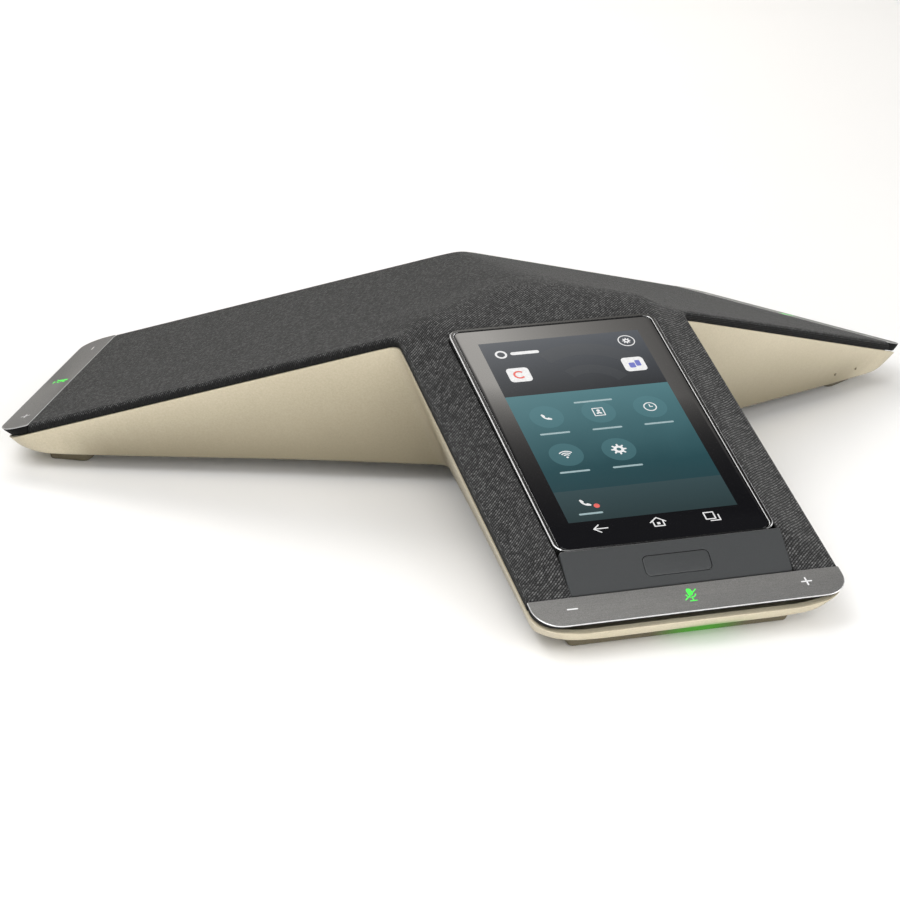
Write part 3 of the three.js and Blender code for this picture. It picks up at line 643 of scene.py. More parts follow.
def metal_material(name, tone, roughness):
    """Plated or rolled sheet metal with fine directional scratches."""
    sh = Shader(name, Metallic=1.0, Anisotropic=0.3)
    scratches = sh.noise(sh.world(), 1.4, 6.0, 0.8)
    low = tuple(0.8 * c for c in tone)
    sh.paint(Base_Color=sh.ramp(scratches, (0.3, low), (0.7, tone)))
    sh.paint(Roughness=sh.range(scratches, 0.3, 0.7, roughness - 0.08, roughness + 0.1))
    sh.bump(scratches, 0.01, 0.4)
    return sh.material


MATERIALS = {
    "fabric": fabric_material(),
    "champagne": champagne_material(),
    "strip": brushed_material("speckled_strip", 0.265, 0.62),
    "black": plastic_material("black_plastic", (0.006, 0.006, 0.007), (0.014, 0.014, 0.015), 0.5),
    "carrier": plastic_material("dull_black", (0.003,) * 3, (0.006,) * 3, 0.7, specular=0.12),
    "graphite": plastic_material("graphite_satin", (0.031, 0.033, 0.034), (0.041, 0.043, 0.044), 0.42, 3.0),
    "trim": bezel_material(),
    "glass": glass_material(),
    "rubber": plastic_material("foot_rubber", (0.115, 0.098, 0.060), (0.150, 0.129, 0.082), 0.7, 1.2, 0.04),
    "diffuser": diffuser_material(),
    "board": board_material(),
    "steel": metal_material("plated_steel", (0.55, 0.55, 0.54), 0.32),
    "heat_sink": metal_material("plain_aluminium", (0.62, 0.62, 0.63), 0.4),
    "magnet": metal_material("plated_magnet", (0.2, 0.2, 0.21), 0.45),
    "cone": plastic_material("coated_paper", (0.02, 0.02, 0.021), (0.035, 0.035, 0.036), 0.75, 0.8, 0.12),
    "polyimide": plastic_material("polyimide_film", (0.30, 0.12, 0.02), (0.42, 0.18, 0.03), 0.3, 0.5, 0.01),
    "panel": plastic_material("panel_back", (0.05, 0.05, 0.055), (0.08, 0.08, 0.085), 0.4, 0.6, 0.02),
}


# ---- Body shell ----
def wall_base(height):
    """Half the width between the walls at a height, carried back to the axis."""
    return RIM_HALF - WALL_LEAN * (PLANE_APEX - RIM_DROP - height)


def on_arm(point):
    """The point's offset across and reach along the arm it lies on, and the direction across."""
    found = []
    for a in HEADINGS:
        reach = point.x * cos(a) + point.y * sin(a)
        offset = point.y * cos(a) - point.x * sin(a)
        found.append((reach, offset, Vector((-sin(a), cos(a), 0))))
    reach, offset, across = max(found, key=lambda item: item[0])
    return offset, reach, across


def toward(start, goal, distance):
    """Each start point moved towards its goal; distance is a length or a function of the point."""
    moved = []
    for a, b in zip(start, goal):
        length = distance(a) if callable(distance) else distance
        step = b - a
        moved.append(a + step * min(length / max(step.length, 1e-6), 0.48))
    return moved


def eased(first, corner, last, steps):
    """Rings that round a corner ring between two neighbours."""
    rings = []
    for k in range(steps + 1):
        t = k / steps
        rings.append([a * (1 - t) ** 2 + c * (2 * t * (1 - t)) + b * t * t
                      for a, c, b in zip(first, corner, last)])
    return rings


def underside(x, y):
    """The underside arches a little: highest about the axis, lowest at the tips."""
    return UNDERSIDE + lerp(0.6, -0.6, rise(60, 178, on_arm(Vector((x, y, 0)))[1]))


def nose_dip(x, y):
    """The rim dips across the front of each nose and comes back up towards its corners."""
    offset, reach, _ = on_arm(Vector((x, y, 0)))
    return 2.1 * rise(180, 187, reach) * (1 - 0.85 * rise(38, 54, abs(offset)))


def bottom_edge(point):
    """How far the rounded bottom edge reaches: small on the walls, wide at the noses' corners."""
    offset, reach, _ = on_arm(point)
    wall = lerp(2.2, 1.2, rise(60, 150, reach))
    return wall + rise(168, 184, reach) * lerp(0.5, 3.4, rise(28, 50, abs(offset)))


def housing_shape():
    """Bowl with leaning walls, a rounded bottom edge, and a crisp rim."""
    flare = WALL_LEAN * ARM_SLOPE
    nose_corner, rim_corner, floor_top = 13, 9, UNDERSIDE + SHELL_FLOOR

    def nose(inset, height, wall_height=UNDERSIDE):
        base = wall_base(wall_height) - inset
        reach = NOSE_REACH - inset
        return lifted(arm_outline(base=base, flare=flare, reach=reach, corner=nose_corner - inset), height)

    def rim(inset, drop):
        outline = arm_outline(base=RIM_HALF - inset, reach=RIM_REACH - inset, corner=rim_corner - inset)
        return lifted(outline, lambda x, y: plane_height(x, y) - drop - nose_dip(x, y))

    corner, bottom_middle = nose(0, underside), nose(12, underside)
    top, lip = rim(0, RIM_DROP), rim(1, RIM_DROP)
    bottom = eased(toward(corner, bottom_middle, bottom_edge), corner, toward(corner, top, bottom_edge), 7)
    upper = eased(toward(top, corner, 0.45), top, toward(top, lip, 0.4), 3)
    inside = [lip, rim(1, 4.4), rim(SHELL_WALL, 4.4), nose(SHELL_WALL, floor_top, floor_top)]
    # two close rings give the painted shade band a crisp top edge
    shade_band_top = [toward(corner, top, lambda point: bottom_edge(point) + SHADE_BAND_HEIGHT + step)
                for step in (-0.05, 0.05)]
    rings = [bottom_middle] + bottom + shade_band_top + upper + inside
    return loft(rings, fan=(underside(0, 0), floor_top))


def add_housing():
    obj = new_object("lower_housing_skin", *housing_shape(), BODY_FRAME)
    cutters = [round_cutter(SCREW_BORE, UNDERSIDE - 1, UNDERSIDE + 2, side, -SCREW_REACH, arm_frame(arm))
               for arm in ARMS for side in (-SCREW_OFFSET, SCREW_OFFSET)]
    cutters.append(block(PORT_LOW, PORT_HIGH, arm_frame("right")))
    carve(obj, cutters)
    dress(obj, BODY_FRAME, "champagne", stands_for=("lower_housing",))
    paint_housing_shade_and_glow(obj)


def add_wall_plugs():
    """Two short slanting plugs in the right arm's near wall."""
    lean = atan(WALL_LEAN)
    upright = Matrix.Rotation(radians(-90), 4, "Y") @ Matrix.Rotation(radians(-90), 4, "Z")
    for letter, (reach, height) in zip("ab", WALL_PLUGS):
        offset = wall_base(height + ARM_SLOPE * reach)
        on_wall = Matrix.Translation((-offset, -reach, height)) @ Matrix.Rotation(lean, 4, "Y")
        rings = [lifted(bar(-0.7, -0.55, 0.7, 0.55, width)[0], z)
                 for width, z in ((0.7, -0.3), (0.7, 0.02), (0.5, 0.08))]
        place = arm_frame("right") @ on_wall @ upright
        piece(f"wall_plug_{letter}", loft(rings), place, "rubber")


def paint_housing_shade_and_glow(obj):
    """Marks the painted shade band along the bottom edge and the painted green light spilled on the lower
    noses.
    """
    shade_bands, glows = [], []
    for point in local_points(obj, BODY_FRAME):
        offset, reach, _ = on_arm(point)
        height = point.z - underside(point.x, point.y)
        # painted shade band: points close above the rounded bottom edge, fading out towards the tips
        shade_bands.append(float(height < bottom_edge(point) + SHADE_BAND_HEIGHT) * (1 - rise(148, 172, reach)))
        # painted green light: spill from the light bar, strongest low on the front of each nose
        level = 1 - rise(-0.5, 2.4, height)
        glows.append(level * rise(174, 182, reach) * (1 - rise(0, GLOW_SPREAD, abs(offset - GLOW_OFFSET))))
    store(obj, "band", shade_bands)
    store(obj, "glow", glows)


# ---- Fabric ----
def fabric_shape():
    """A taut skin with rounded side edges, drawn in at its hem and folded down at the arm tips."""
    edge, fold, hem_inset = 1.6, 0.7, 0.4
    hem_drop = RIM_DROP - 0.3

    def outline(inset, end_inset=0.0):
        return arm_outline(base=ARM_HALF - inset, reach=FABRIC_END - end_inset, corner=0.8)

    def hem(inset, end_inset, height=0.0):
        return lifted(outline(inset, end_inset), lambda x, y: plane_height(x, y) - hem_drop + height)

    def cover(points, drop=0.0):
        return lifted(points, lambda x, y: cover_height(x, y) - drop)

    rounded = []
    for k in range(7):
        a = pi / 2 * k / 6
        inset, drop = edge * (1 - cos(a)), edge * (1 - sin(a))
        rounded.append(cover(outline(inset, fold * (1 - cos(a))), drop))
    crest = outline(edge, fold)
    count = 30
    scaled = [[(x * (1 - k / count), y * (1 - k / count)) for x, y in crest] for k in range(1, count)]
    over = [cover(points) for points in scaled]
    under = [cover(points, FABRIC) for points in scaled]
    inner = [cover(crest, FABRIC), hem(FABRIC + 0.1, fold, 1.2), hem(FABRIC + 0.1, fold)]
    edge_rings = [hem(hem_inset + 0.2, 0.2), hem(hem_inset, 0, 0.25), hem(0.15, 0, 1.1)]
    crown = cover_height(0, 0)
    return loft(under[::-1] + inner + edge_rings + rounded + over, fan=(crown - FABRIC, crown))


def display_cutters(clearance):
    """Tools for the opening that the display and the chin fill."""
    place = module_frame()
    size = [length + 2 * clearance for length in (BEZEL_SIZE[0] + BEZEL_EXTRA, BEZEL_SIZE[1])]
    rings = plate_rings(*size, BEZEL_CORNER + clearance, [(0, -30), (0, 25)], steps=10)
    bezel = new_object("cutter", *loft(shifted(rings, -BEZEL_EXTRA / 2, 0)), place)
    chin_half = CHIN_SIZE[0] / 2 + clearance
    chin = block((-chin_half, -200, 0), (chin_half, -158, 60), BODY_FRAME)
    return [bezel, chin]


def add_fabric():
    obj = new_object("fabric_cover_skin", *fabric_shape(), BODY_FRAME)
    carve(obj, display_cutters(0.2))
    dress(obj, BODY_FRAME, "fabric", stands_for=("fabric_cover",), smooth=50)
    unfold_weave(obj)


def unfold_weave(obj):
    """Where the cloth turns down over an edge its weave runs on as if it lay flat, and it is marked for
    painted shade that makes it darker.
    """
    places, turns = [], []
    for point in local_points(obj, BODY_FRAME):
        offset, reach, across = on_arm(point)
        fall = max(cover_height(point.x, point.y) - point.z, 0)
        on_side = abs(offset) > ARM_HALF - 2.5
        shift = across * copysign(fall, offset) if on_side else Vector((0, -fall, 0))
        places.append(point + shift)
        # how far the cloth has turned down, which sets its painted shade
        turns.append(rise(0.1, 1.9, fall))
    store(obj, "weave", places)
    store(obj, "turned", turns)


# ---- Arm tips ----
def tip_outline(half, start, end, corner, inner=0.6, steps=12):
    """A tip piece in the front arm's frame, anticlockwise, with rounded outer corners."""
    points = []
    for cx, cy, radius, first in ((half, -start, inner, 0), (-half, -start, inner, 90),
                                  (-half, -end, corner, 180), (half, -end, corner, 270)):
        x = cx - copysign(radius, cx)
        y = cy - radius if first < 180 else cy + radius
        for i in range(steps + 1):
            a = radians(first + 90 * i / steps)
            points.append((x + radius * cos(a), y + radius * sin(a)))
    return points


def tip_ring(half, start, end, corner, drop):
    return lifted(tip_outline(half, start, end, corner), lambda x, y: PLANE_APEX + ARM_SLOPE * y - drop)


def strip_shape():
    """The touch plate: thin and flat, with a narrow chamfer all round, which the material gives a polish
    and a painted highlight.
    """
    start = STRIP_START - 0.3
    layers = [(STRIP_EDGE, STRIP_THICKNESS), (0, STRIP_THICKNESS - 0.04), (0, STRIP_EDGE), (STRIP_EDGE, 0)]
    return loft([tip_ring(ARM_HALF - i, start + i, ARM_REACH - i, STRIP_CORNER - i, drop)
                 for i, drop in layers])


def strip_base_shape():
    """Black carrier under the plate, its end face leaning in below."""
    start, deep = STRIP_START - 0.2, RIM_DROP - 0.3
    tongue = [tip_ring(51, start + 1, 186.4, 5, drop) for drop in (RIM_DROP + 0.25, deep + 0.05)]
    low = [tip_ring(56.5, start, 188.3, 8.3, deep), tip_ring(56.8, start, 188.7, 8.5, deep - 0.3)]
    top = [tip_ring(57.1, start, 191.5, 9.4, 1.1), tip_ring(57.2, start, ARM_REACH - 0.2, 9.5, 0.36)]
    return loft(tongue + low + top)


def pad_ring(inset, start, end, inner, outer, height):
    """A ring of the foot or the light bar, both as wide as each other."""
    return lifted(tip_outline(FOOT_HALF - inset, start, end, outer, inner), height)


def light_bar_shape():
    """The strip of light guide across the front of the foot."""
    layers = [(1.6, 0.4, 0.05), (1.3, 0.12, 0.15), (0.9, 0, 0.6), (0.2, 0, 1.8), (0, 0, 2.2),
              (0, 0, UNDERSIDE - 0.3)]
    return loft([pad_ring(side, LIGHT_BACK, FOOT_FRONT - front, 0.1, 1.2, z) for side, front, z in layers])


def foot_shape():
    """A rubber pad that narrows towards the table at its sides and back."""
    layers = [(1.7, 2.4, 0), (1.3, 2.0, 0.12), (0.9, 1.6, 0.6), (0.2, 0.3, 1.8), (0, 0, 2.2),
              (0, 0, UNDERSIDE - 0.3)]
    front = LIGHT_BACK - 0.04
    return loft([pad_ring(side, FOOT_BACK + back, front, 2.6, 0.1, z) for side, back, z in layers])


# ---- Small flat symbols ----
def disc(x, y, radius, steps=36):
    return [circle(x, y, radius, steps)]


def arc(x, y, radius, width, start, end, steps=28):
    """A band of a circle between two angles in degrees."""
    angles = [radians(lerp(start, end, i / steps)) for i in range(steps + 1)]
    outer, inner = radius + width / 2, radius - width / 2
    loop = [(x + outer * cos(a), y + outer * sin(a)) for a in angles]
    loop += [(x + inner * cos(a), y + inner * sin(a)) for a in reversed(angles)]
    return [loop]


def ring(x, y, radius, width):
    return arc(x, y, radius, width, 0, 180) + arc(x, y, radius, width, 180, 360)


def bar(x0, y0, x1, y1, width):
    """A straight stroke with round ends."""
    heading = atan2(y1 - y0, x1 - x0)
    loop = []
    for x, y, turn in ((x1, y1, -90), (x0, y0, 90)):
        for i in range(9):
            a = heading + radians(turn + 180 * i / 8)
            loop.append((x + width / 2 * cos(a), y + width / 2 * sin(a)))
    return [loop]


def open_frame(x, y, width, height, line):
    """Four strokes round a rectangle."""
    w, h = width / 2, height / 2
    turns = [(-w, -h), (w, -h), (w, h), (-w, h)]
    loops = []
    for (ax, ay), (bx, by) in zip(turns, turns[1:] + turns[:1]):
        loops += bar(x + ax, y + ay, x + bx, y + by, line)
    return loops


def tile(x, y, width, height, radius):
    return [[(x + px, y + py) for px, py in rounded_rectangle(width, height, radius)]]


def flat_shape(loops, bottom, top):
    """Thin closed prisms from a list of loops."""
    points, faces = [], []
    for loop in loops:
        start = len(points)
        more_points, more_faces = prism(loop, bottom, top)
        points += more_points
        faces += [tuple(start + i for i in face) for face in more_faces]
    return points, faces


def placed(loops, x, y, size):
    """Loops drawn about the origin, scaled and then moved."""
    return [[(x + size * px, y + size * py) for px, py in loop] for loop in loops]


def handset():
    """Telephone handset: a bowed grip with two ends."""
    ends = bar(-0.52, 0.42, -0.34, 0.16, 0.32) + bar(0.16, -0.34, 0.42, -0.52, 0.32)
    return arc(0.42, 0.42, 0.95, 0.24, 188, 262) + ends


def gear():
    teeth = []
    for turn in range(8):
        a = radians(45 * turn)
        x, y = cos(a), sin(a)
        teeth += bar(0.62 * x, 0.62 * y, 0.92 * x, 0.92 * y, 0.26)
    return ring(0, 0, 0.5, 0.38) + teeth


def clock():
    return ring(0, 0, 0.82, 0.16) + bar(0, 0, 0, 0.45, 0.15) + bar(0, 0, 0.32, 0, 0.15)


def contact():
    """Address card: head and shoulders in a frame."""
    return open_frame(0, 0, 1.4, 1.5, 0.14) + disc(0, 0.25, 0.24) + arc(0, -0.45, 0.28, 0.26, 10, 170)


def waves():
    """Wireless waves over a dot."""
    symbol = disc(0, -0.55, 0.16)
    for radius in (0.5, 0.85, 1.2):
        symbol += arc(0, -0.55, radius, 0.17, 45, 135)
    return symbol


def muted_microphone():
    """Microphone on its stand with a stroke through it."""
    symbol = bar(0, 0.22, 0, 0.72, 0.56) + arc(0, 0.2, 0.53, 0.13, 188, 352)
    symbol += bar(0, -0.36, 0, -0.8, 0.13) + bar(-0.36, -0.86, 0.36, -0.86, 0.13)
    return symbol + bar(-0.76, -0.62, 0.76, 0.78, 0.14)


def tip_symbols(arm, place):
    """Minus, mute and plus, inlaid flush with the touch plate."""
    tilt = Matrix.Rotation(atan(ARM_SLOPE), 4, "X")
    height = PLANE_APEX - ARM_SLOPE * SYMBOL_REACH
    on_plate = place @ Matrix.Translation((0, -SYMBOL_REACH, height)) @ tilt
    minus = bar(-SYMBOL_OFFSET - 1.7, 0, -SYMBOL_OFFSET + 1.7, 0, 0.62)
    plus = bar(SYMBOL_OFFSET - 1.8, 0, SYMBOL_OFFSET + 1.8, 0, 0.6)
    plus += bar(SYMBOL_OFFSET, -1.8, SYMBOL_OFFSET, 1.8, 0.6)
    volume = flat_shape(minus + plus, -0.1, SYMBOL_RISE)
    piece(f"volume_symbols_{arm}", volume, on_plate, "pale", "strip")
    mute = flat_shape(placed(muted_microphone(), 0, 0, 3.4), -0.1, SYMBOL_RISE)
    piece(f"mute_symbol_{arm}", mute, on_plate, "green", "diffuser")


def add_tips():
    for arm in ARMS:
        place = arm_frame(arm)
        plate = piece(f"touch_strip_{arm}", strip_shape(), place, "strip", smooth=20)
        mark_edges(plate)
        piece(f"strip_base_{arm}", strip_base_shape(), place, "carrier", "black")
        piece(f"light_bar_{arm}", light_bar_shape(), place, "diffuser")
        piece(f"foot_{arm}", foot_shape(), place, "rubber")
        tip_symbols(arm, place)


# ---- Display module ----
def shifted(rings, x, y):
    return [[p + Vector((x, y, 0)) for p in ring_points] for ring_points in rings]


def bezel_shape():
    """Frame around the glass: a closed section carried round a rounded rectangle."""
    outer = [(0.35, -BEZEL_DEPTH), (0, 0.4 - BEZEL_DEPTH), (0, -0.3), (0.3, 0)]
    inner = [(1.35, 0), (1.55, -0.2), (1.6, -0.35), (1.62, -2.6)]
    inner += [(4, -2.6), (4, -3.6), (2.1, -3.6), (2.1, -BEZEL_DEPTH)]
    width, length = BEZEL_SIZE[0] + BEZEL_EXTRA, BEZEL_SIZE[1]
    rings = plate_rings(width, length, BEZEL_CORNER, outer, steps=10)
    inner_rings = plate_rings(width, length + NARROWER, BEZEL_CORNER, inner, steps=10)
    rings += shifted(inner_rings, 0, -NARROWER / 2)
    return loft(shifted(rings, -BEZEL_EXTRA / 2, 0), wrap=True)


def glass_shape():
    layers = [(0, -1.4)] + rounded_edge(-1.3, -GLASS_RECESS, 0.25)
    rings = plate_rings(GLASS_SIZE[0] + BEZEL_EXTRA, GLASS_SIZE[1] + NARROWER, 3.5, layers, steps=10)
    return loft(shifted(rings, -BEZEL_EXTRA / 2, GLASS_SHIFT - NARROWER / 2))


def chin_shape():
    """The plate below the display; its upper edge reaches over the gap to the bezel."""
    reach_up, cut_down = 0.8, 0.3
    layers = [(0.2, -1.8), (0, -1.6), (0, -0.3), (0.3, 0)]
    rings = plate_rings(CHIN_SIZE[0], CHIN_SIZE[1] + reach_up - cut_down, 0.8, layers, steps=4)
    return loft(shifted(rings, 0, (reach_up + cut_down) / 2))


def key_shape():
    layers = [(0, -1.8)] + rounded_edge(-1.7, 0.08, 0.25)
    return loft(plate_rings(*KEY_SIZE, KEY_CORNER, layers, steps=10))


def key_opening(place):
    size = [length + 2 * KEY_GAP for length in KEY_SIZE]
    rings = plate_rings(*size, KEY_CORNER + 0.35, [(0, -5), (0, 5)], steps=10)
    return new_object("cutter", *loft(rings), place)


def add_display():
    place = module_frame()
    bezel = piece("display_bezel", bezel_shape(), place, "trim", "graphite", smooth=28)
    mark_edges(bezel, sideways=0.4)
    piece("cover_glass", glass_shape(), place, "glass")
    chin_place = chin_frame()
    chin = new_object("chin_plate_skin", *chin_shape(), chin_place)
    carve(chin, [key_opening(chin_place)])
    dress(chin, chin_place, "graphite", stands_for=("chin_plate",), smooth=28)
    piece("function_key", key_shape(), chin_place, "graphite", body="function_key")


# ---- What the display shows ----
SCREEN_HALF = 31.6
SCREEN_TOP = 8.6 # every level below is measured down from the glass's upper edge
PANEL_TOP = 41.0
BAND_TOP = 95.8
PANEL_END = 112.5
FIRST_ROW = 54.2
SECOND_ROW = 76.1
COLUMN = 20
TILE_ROW = 28.7
TILE_SIZE = (8.6, 8.2, 1.6) # width, height and corner
BUTTON_RADIUS = 6.3
ICON_SIZE = 2.8
CAPTION_DROP = 9.6
CAPTION_WIDTH = 10.5
LAYER_STEP = 0.02
NAVIGATION = 117.0

# Shades of each lit area from its bottom to its top.
# The header's brighter top is partly its own lit shade and partly a painted reflection of the glass.
HEADER_SHADES = ((0.0, (0.014, 0.017, 0.022)), (1.0, (0.056, 0.066, 0.082)))
PANEL_SHADES = ((0.0, (0.016, 0.040, 0.048)), (0.4, (0.014, 0.062, 0.075)), (1.0, (0.068, 0.185, 0.210)))
BAND_SHADES = ((0.0, (0.022, 0.042, 0.046)), (1.0, (0.034, 0.066, 0.074)))
MARK_SHADES = ((0.0, (0.024, 0.028, 0.034)), (1.0, (0.060, 0.068, 0.080)))
BUTTON_SHADES = ((0.0, (0.022, 0.076, 0.088)), (1.0, (0.074, 0.197, 0.224)))


def down(level):
    """A level below the glass's upper edge as a height in the module's frame."""
    return GLASS_SIZE[1] / 2 + GLASS_SHIFT - level


def screen_materials():
    header = (down(PANEL_TOP), down(SCREEN_TOP))
    panel = (down(PANEL_END), down(PANEL_TOP))
    band = (down(PANEL_END), down(BAND_TOP))
    return {
        "header": lit_material("screen_header", HEADER_SHADES, header),
        "menu": lit_material("screen_menu", PANEL_SHADES, panel),
        "band": lit_material("screen_band", BAND_SHADES, band),
        "mark": lit_material("screen_mark", MARK_SHADES, header),
        "button": lit_material("screen_button", BUTTON_SHADES, panel),
        "white": lamp_material("screen_white", grey(0.80), 1.0),
        "soft": lamp_material("screen_soft_white", color(0.30, 0.42, 0.44), 1.0),
        "red": lamp_material("screen_red", color(0.75, 0.10, 0.08), 1.0),
        "blue": lamp_material("screen_blue", color(0.12, 0.14, 0.50), 1.0),
        "pale": lamp_material("strip_pale", grey(0.40), 0.7, grey(0.45)),
        "green": lamp_material("strip_green", color(0.06, 0.85, 0.07), 1.25),
    }


MATERIALS.update(screen_materials())


def screen_layer(name, loops, level, finish):
    """A lit layer a hair above the glass; level orders the layers."""
    shape = flat_shape(loops, -GLASS_RECESS - 0.1, -GLASS_RECESS + LAYER_STEP * level)
    place = module_frame() @ Matrix.Translation((-BEZEL_EXTRA / 2, 0, 0))
    piece(name, shape, place, finish, "panel")


def area(top, bottom):
    half = SCREEN_HALF
    return [[(-half, down(bottom)), (half, down(bottom)), (half, down(top)), (-half, down(top))]]


def caption_bar(x, level, width):
    """Stands for a caption: a plain soft bar with no lettering."""
    return bar(x - width / 2, down(level), x + width / 2, down(level), 0.9)


def add_screen():
    columns = (-COLUMN, 0, COLUMN)
    screen_layer("screen_header", area(SCREEN_TOP, PANEL_TOP), 1, "header")
    screen_layer("screen_panel", area(PANEL_TOP, BAND_TOP), 1, "menu")
    screen_layer("screen_band", area(BAND_TOP, PANEL_END), 1, "band")
    mark = arc(4, down(PANEL_TOP) - 2, 26, 7, 30, 122) + arc(4, down(PANEL_TOP) - 2, 14, 5, 30, 122)
    screen_layer("screen_mark", mark, 2, "mark")
    tiles = tile(-22, down(TILE_ROW), *TILE_SIZE) + tile(23, down(TILE_ROW), *TILE_SIZE)
    screen_layer("screen_tiles", tiles, 3, "white")
    screen_layer("screen_tile_disc", arc(-22, down(TILE_ROW), 1.9, 0.8, 40, 320), 4, "red")
    blocks = tile(22.1, down(TILE_ROW + 0.6), 2.4, 3.0, 0.5)
    blocks += tile(24.6, down(TILE_ROW - 0.4), 2.0, 3.4, 0.5)
    screen_layer("screen_tile_blocks", blocks, 4, "blue")
    rows = [(x, FIRST_ROW) for x in columns] + [(x, SECOND_ROW) for x in columns[:2]]
    buttons = [loop for x, level in rows for loop in disc(x, down(level), BUTTON_RADIUS, 56)]
    screen_layer("screen_buttons", buttons, 2, "button")
    symbols = (handset, contact, clock, waves, gear)
    icons = [loop for draw, (x, level) in zip(symbols, rows)
             for loop in placed(draw(), x, down(level), ICON_SIZE)]
    icons += placed(handset(), -22, down(102.7), 2.9)
    icons += placed(gear(), 25, down(14.5), 1.6) + ring(25, down(14.5), 3.1, 0.4)
    icons += ring(-25, down(16), 1.9, 0.8) + bar(-20.5, down(16), -11, down(16), 1.7)
    screen_layer("screen_icons", icons, 3, "white")
    captions = [loop for x, level in rows for loop in caption_bar(x, level + CAPTION_DROP, CAPTION_WIDTH)]
    captions += caption_bar(0, 47.8, 14) + caption_bar(-22, 108.7, 8)
    screen_layer("screen_captions", captions, 3, "soft")
    screen_layer("screen_badge", disc(-18.6, down(105), 1.1), 4, "red")
    add_navigation()


def add_navigation():
    """Back, home and recent symbols below the lit area."""
    line = 0.55
    back = bar(-2.9, 0, 2.9, 0, line) + bar(-2.9, 0, -0.4, 2.2, line) + bar(-2.9, 0, -0.4, -2.2, line)
    home = bar(-3.2, 0.2, 0, 2.8, line) + bar(0, 2.8, 3.2, 0.2, line)
    home += bar(-2.1, 0.6, -2.1, -2.3, line) + bar(2.1, 0.6, 2.1, -2.3, line)
    home += bar(-2.1, -2.3, 2.1, -2.3, line) + tile(0, -0.7, 1.3, 1.3, 0.1)
    recent = open_frame(-1.6, 0.5, 4, 4, line)
    recent += bar(2.1, 0.6, 2.1, -2.6, line) + bar(2.1, -2.6, -2, -2.6, line)
    symbols = ((-21.3, back), (0, home), (20.8, recent))
    loops = [loop for x, symbol in symbols for loop in placed(symbol, x, down(NAVIGATION), 0.88)]
    screen_layer("screen_navigation", loops, 1, "white")


# ---- CAD pieces that keep their own shape ----
def finish_cad_nodes():
    """Gives each CAD node the material of its slot in the record."""
    slots = {row["node"]: row["material_slot"] for row in frame["record"]["subparts"]}
    for node, obj in frame["nodes"].items():
        finish = slots[node] if slots[node] in MATERIALS else "black"
        obj.data.materials.clear()
        obj.data.materials.append(MATERIALS[finish])


# ---- Stage ----
def card_material():
    """A soft overhead card, brightest at its rear left and fading to the front and the right."""
    sh = Shader("overhead_card", Base_Color=grey(0.0), Roughness=1.0)
    x, y, _ = sh.split(sh.world(1))
    forward = sh.math("MINIMUM", sh.math("SUBTRACT", y, CARD_BRIGHT_Y), 0)
    sideways = sh.math("MINIMUM", sh.math("SUBTRACT", CARD_BRIGHT_X, x), 0)
    fall = sh.math("ADD", sh.math("DIVIDE", forward, CARD_FADE_Y), sh.math("DIVIDE", sideways, CARD_FADE_X))
    strength = sh.times(sh.math("EXPONENT", fall), CARD_STRENGTH)
    sh.paint(Emission_Color=color(1.0, 0.965, 0.91), Emission_Strength=strength)
    return sh.material


def stage_plane(name, low, high, z, material):
    mesh = bpy.data.meshes.new(name)
    x0, y0 = low
    x1, y1 = high
    mesh.from_pydata([(x0, y0, z), (x1, y0, z), (x1, y1, z), (x0, y1, z)], [], [(0, 1, 2, 3)])
    mesh.materials.append(material)
    linked(name, mesh)


def add_floor():
    sh = Shader("pale_floor", Roughness=0.6)
    mottling = sh.noise(sh.world(1), 3.0)
    shade = sh.ramp(mottling, (0.3, (0.86, 0.86, 0.86)), (0.7, (0.88, 0.88, 0.88)))
    sh.paint(Base_Color=shade)
    stage_plane("floor", (-6, -6), (6, 6), 0, sh.material)


def add_area_light(name, location, target, size, power):
    data = bpy.data.lights.new(name, "AREA")
    data.shape = "RECTANGLE"
    data.size, data.size_y = size
    data.energy = power
    light = linked(name, data)
    light.location = location
    light.rotation_mode = "QUATERNION"
    light.rotation_quaternion = (Vector(target) - Vector(location)).to_track_quat("-Z", "Y")


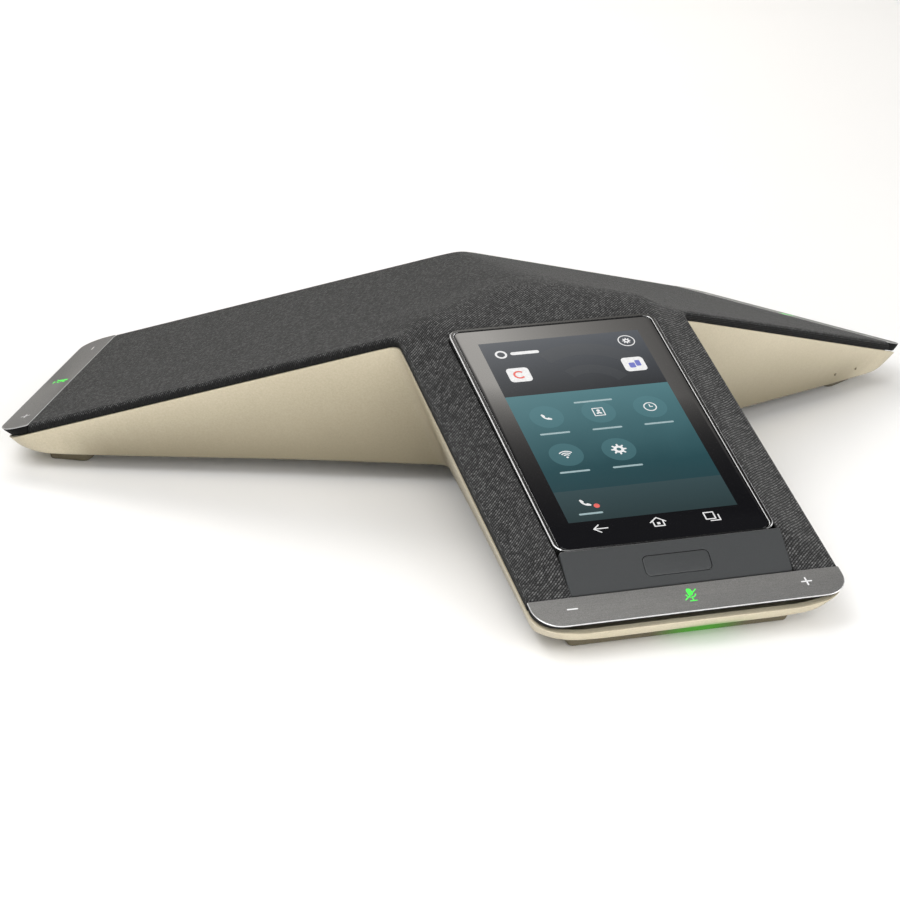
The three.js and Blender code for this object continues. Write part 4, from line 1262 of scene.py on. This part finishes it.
def add_world():
    """Even white surroundings for soft light, dim where the glass mirrors them and bright to the camera."""
    world = bpy.data.worlds.new("studio")
    world.use_nodes = True
    tree = world.node_tree
    background = tree.nodes["Background"]
    background.inputs[0].default_value = (1, 1, 1, 1)
    path = tree.nodes.new("ShaderNodeLightPath")
    level = tree.nodes.new("ShaderNodeMapRange")
    level.inputs["To Min"].default_value = 0.32
    level.inputs["To Max"].default_value = 0.06
    tree.links.new(path.outputs["Is Glossy Ray"], level.inputs["Value"])
    backdrop = tree.nodes.new("ShaderNodeMath")
    backdrop.operation = "MAXIMUM"
    tree.links.new(path.outputs["Is Camera Ray"], backdrop.inputs[0])
    tree.links.new(level.outputs[0], backdrop.inputs[1])
    tree.links.new(backdrop.outputs[0], background.inputs[1])
    bpy.context.scene.world = world


def add_lights():
    add_area_light("key", (-0.9, -0.7, 1.6), (0, 0, 0.03), (1.2, 1.2), 20)
    add_area_light("low_left", (-0.13, -0.72, 0.3), (-0.05, 0, 0.03), (0.6, 0.4), 4.1)
    add_area_light("low_right", (0.75, -0.55, 0.35), (0, 0, 0.03), (0.5, 0.4), 3.2)
    stage_plane("overhead", (-0.6, 0.3), (1.1, 1.3), 0.9, card_material())
    add_world()


def add_camera():
    """A long lens, low in front and a little to the left."""
    azimuth, elevation, roll = radians(-18.75), radians(20.396), radians(0.896)
    data = bpy.data.cameras.new("camera")
    data.lens = 125.3
    data.shift_x, data.shift_y = -0.00207, 0.00204
    data.clip_end = 50
    camera = linked("camera", data)
    spot = (AXIS + Vector((-393.4, -1088.2, 433.6))) * MM
    turned = Matrix.Rotation(azimuth, 4, "Z") @ Matrix.Rotation(pi / 2 - elevation, 4, "X")
    camera.matrix_world = Matrix.Translation(spot) @ turned @ Matrix.Rotation(roll, 4, "Z")
    bpy.context.scene.camera = camera


finish_cad_nodes()
add_housing()
add_wall_plugs()
add_fabric()
add_tips()
add_display()
add_screen()
add_floor()
add_lights()
add_camera()
bpy.context.scene.view_settings.view_transform = "Standard"
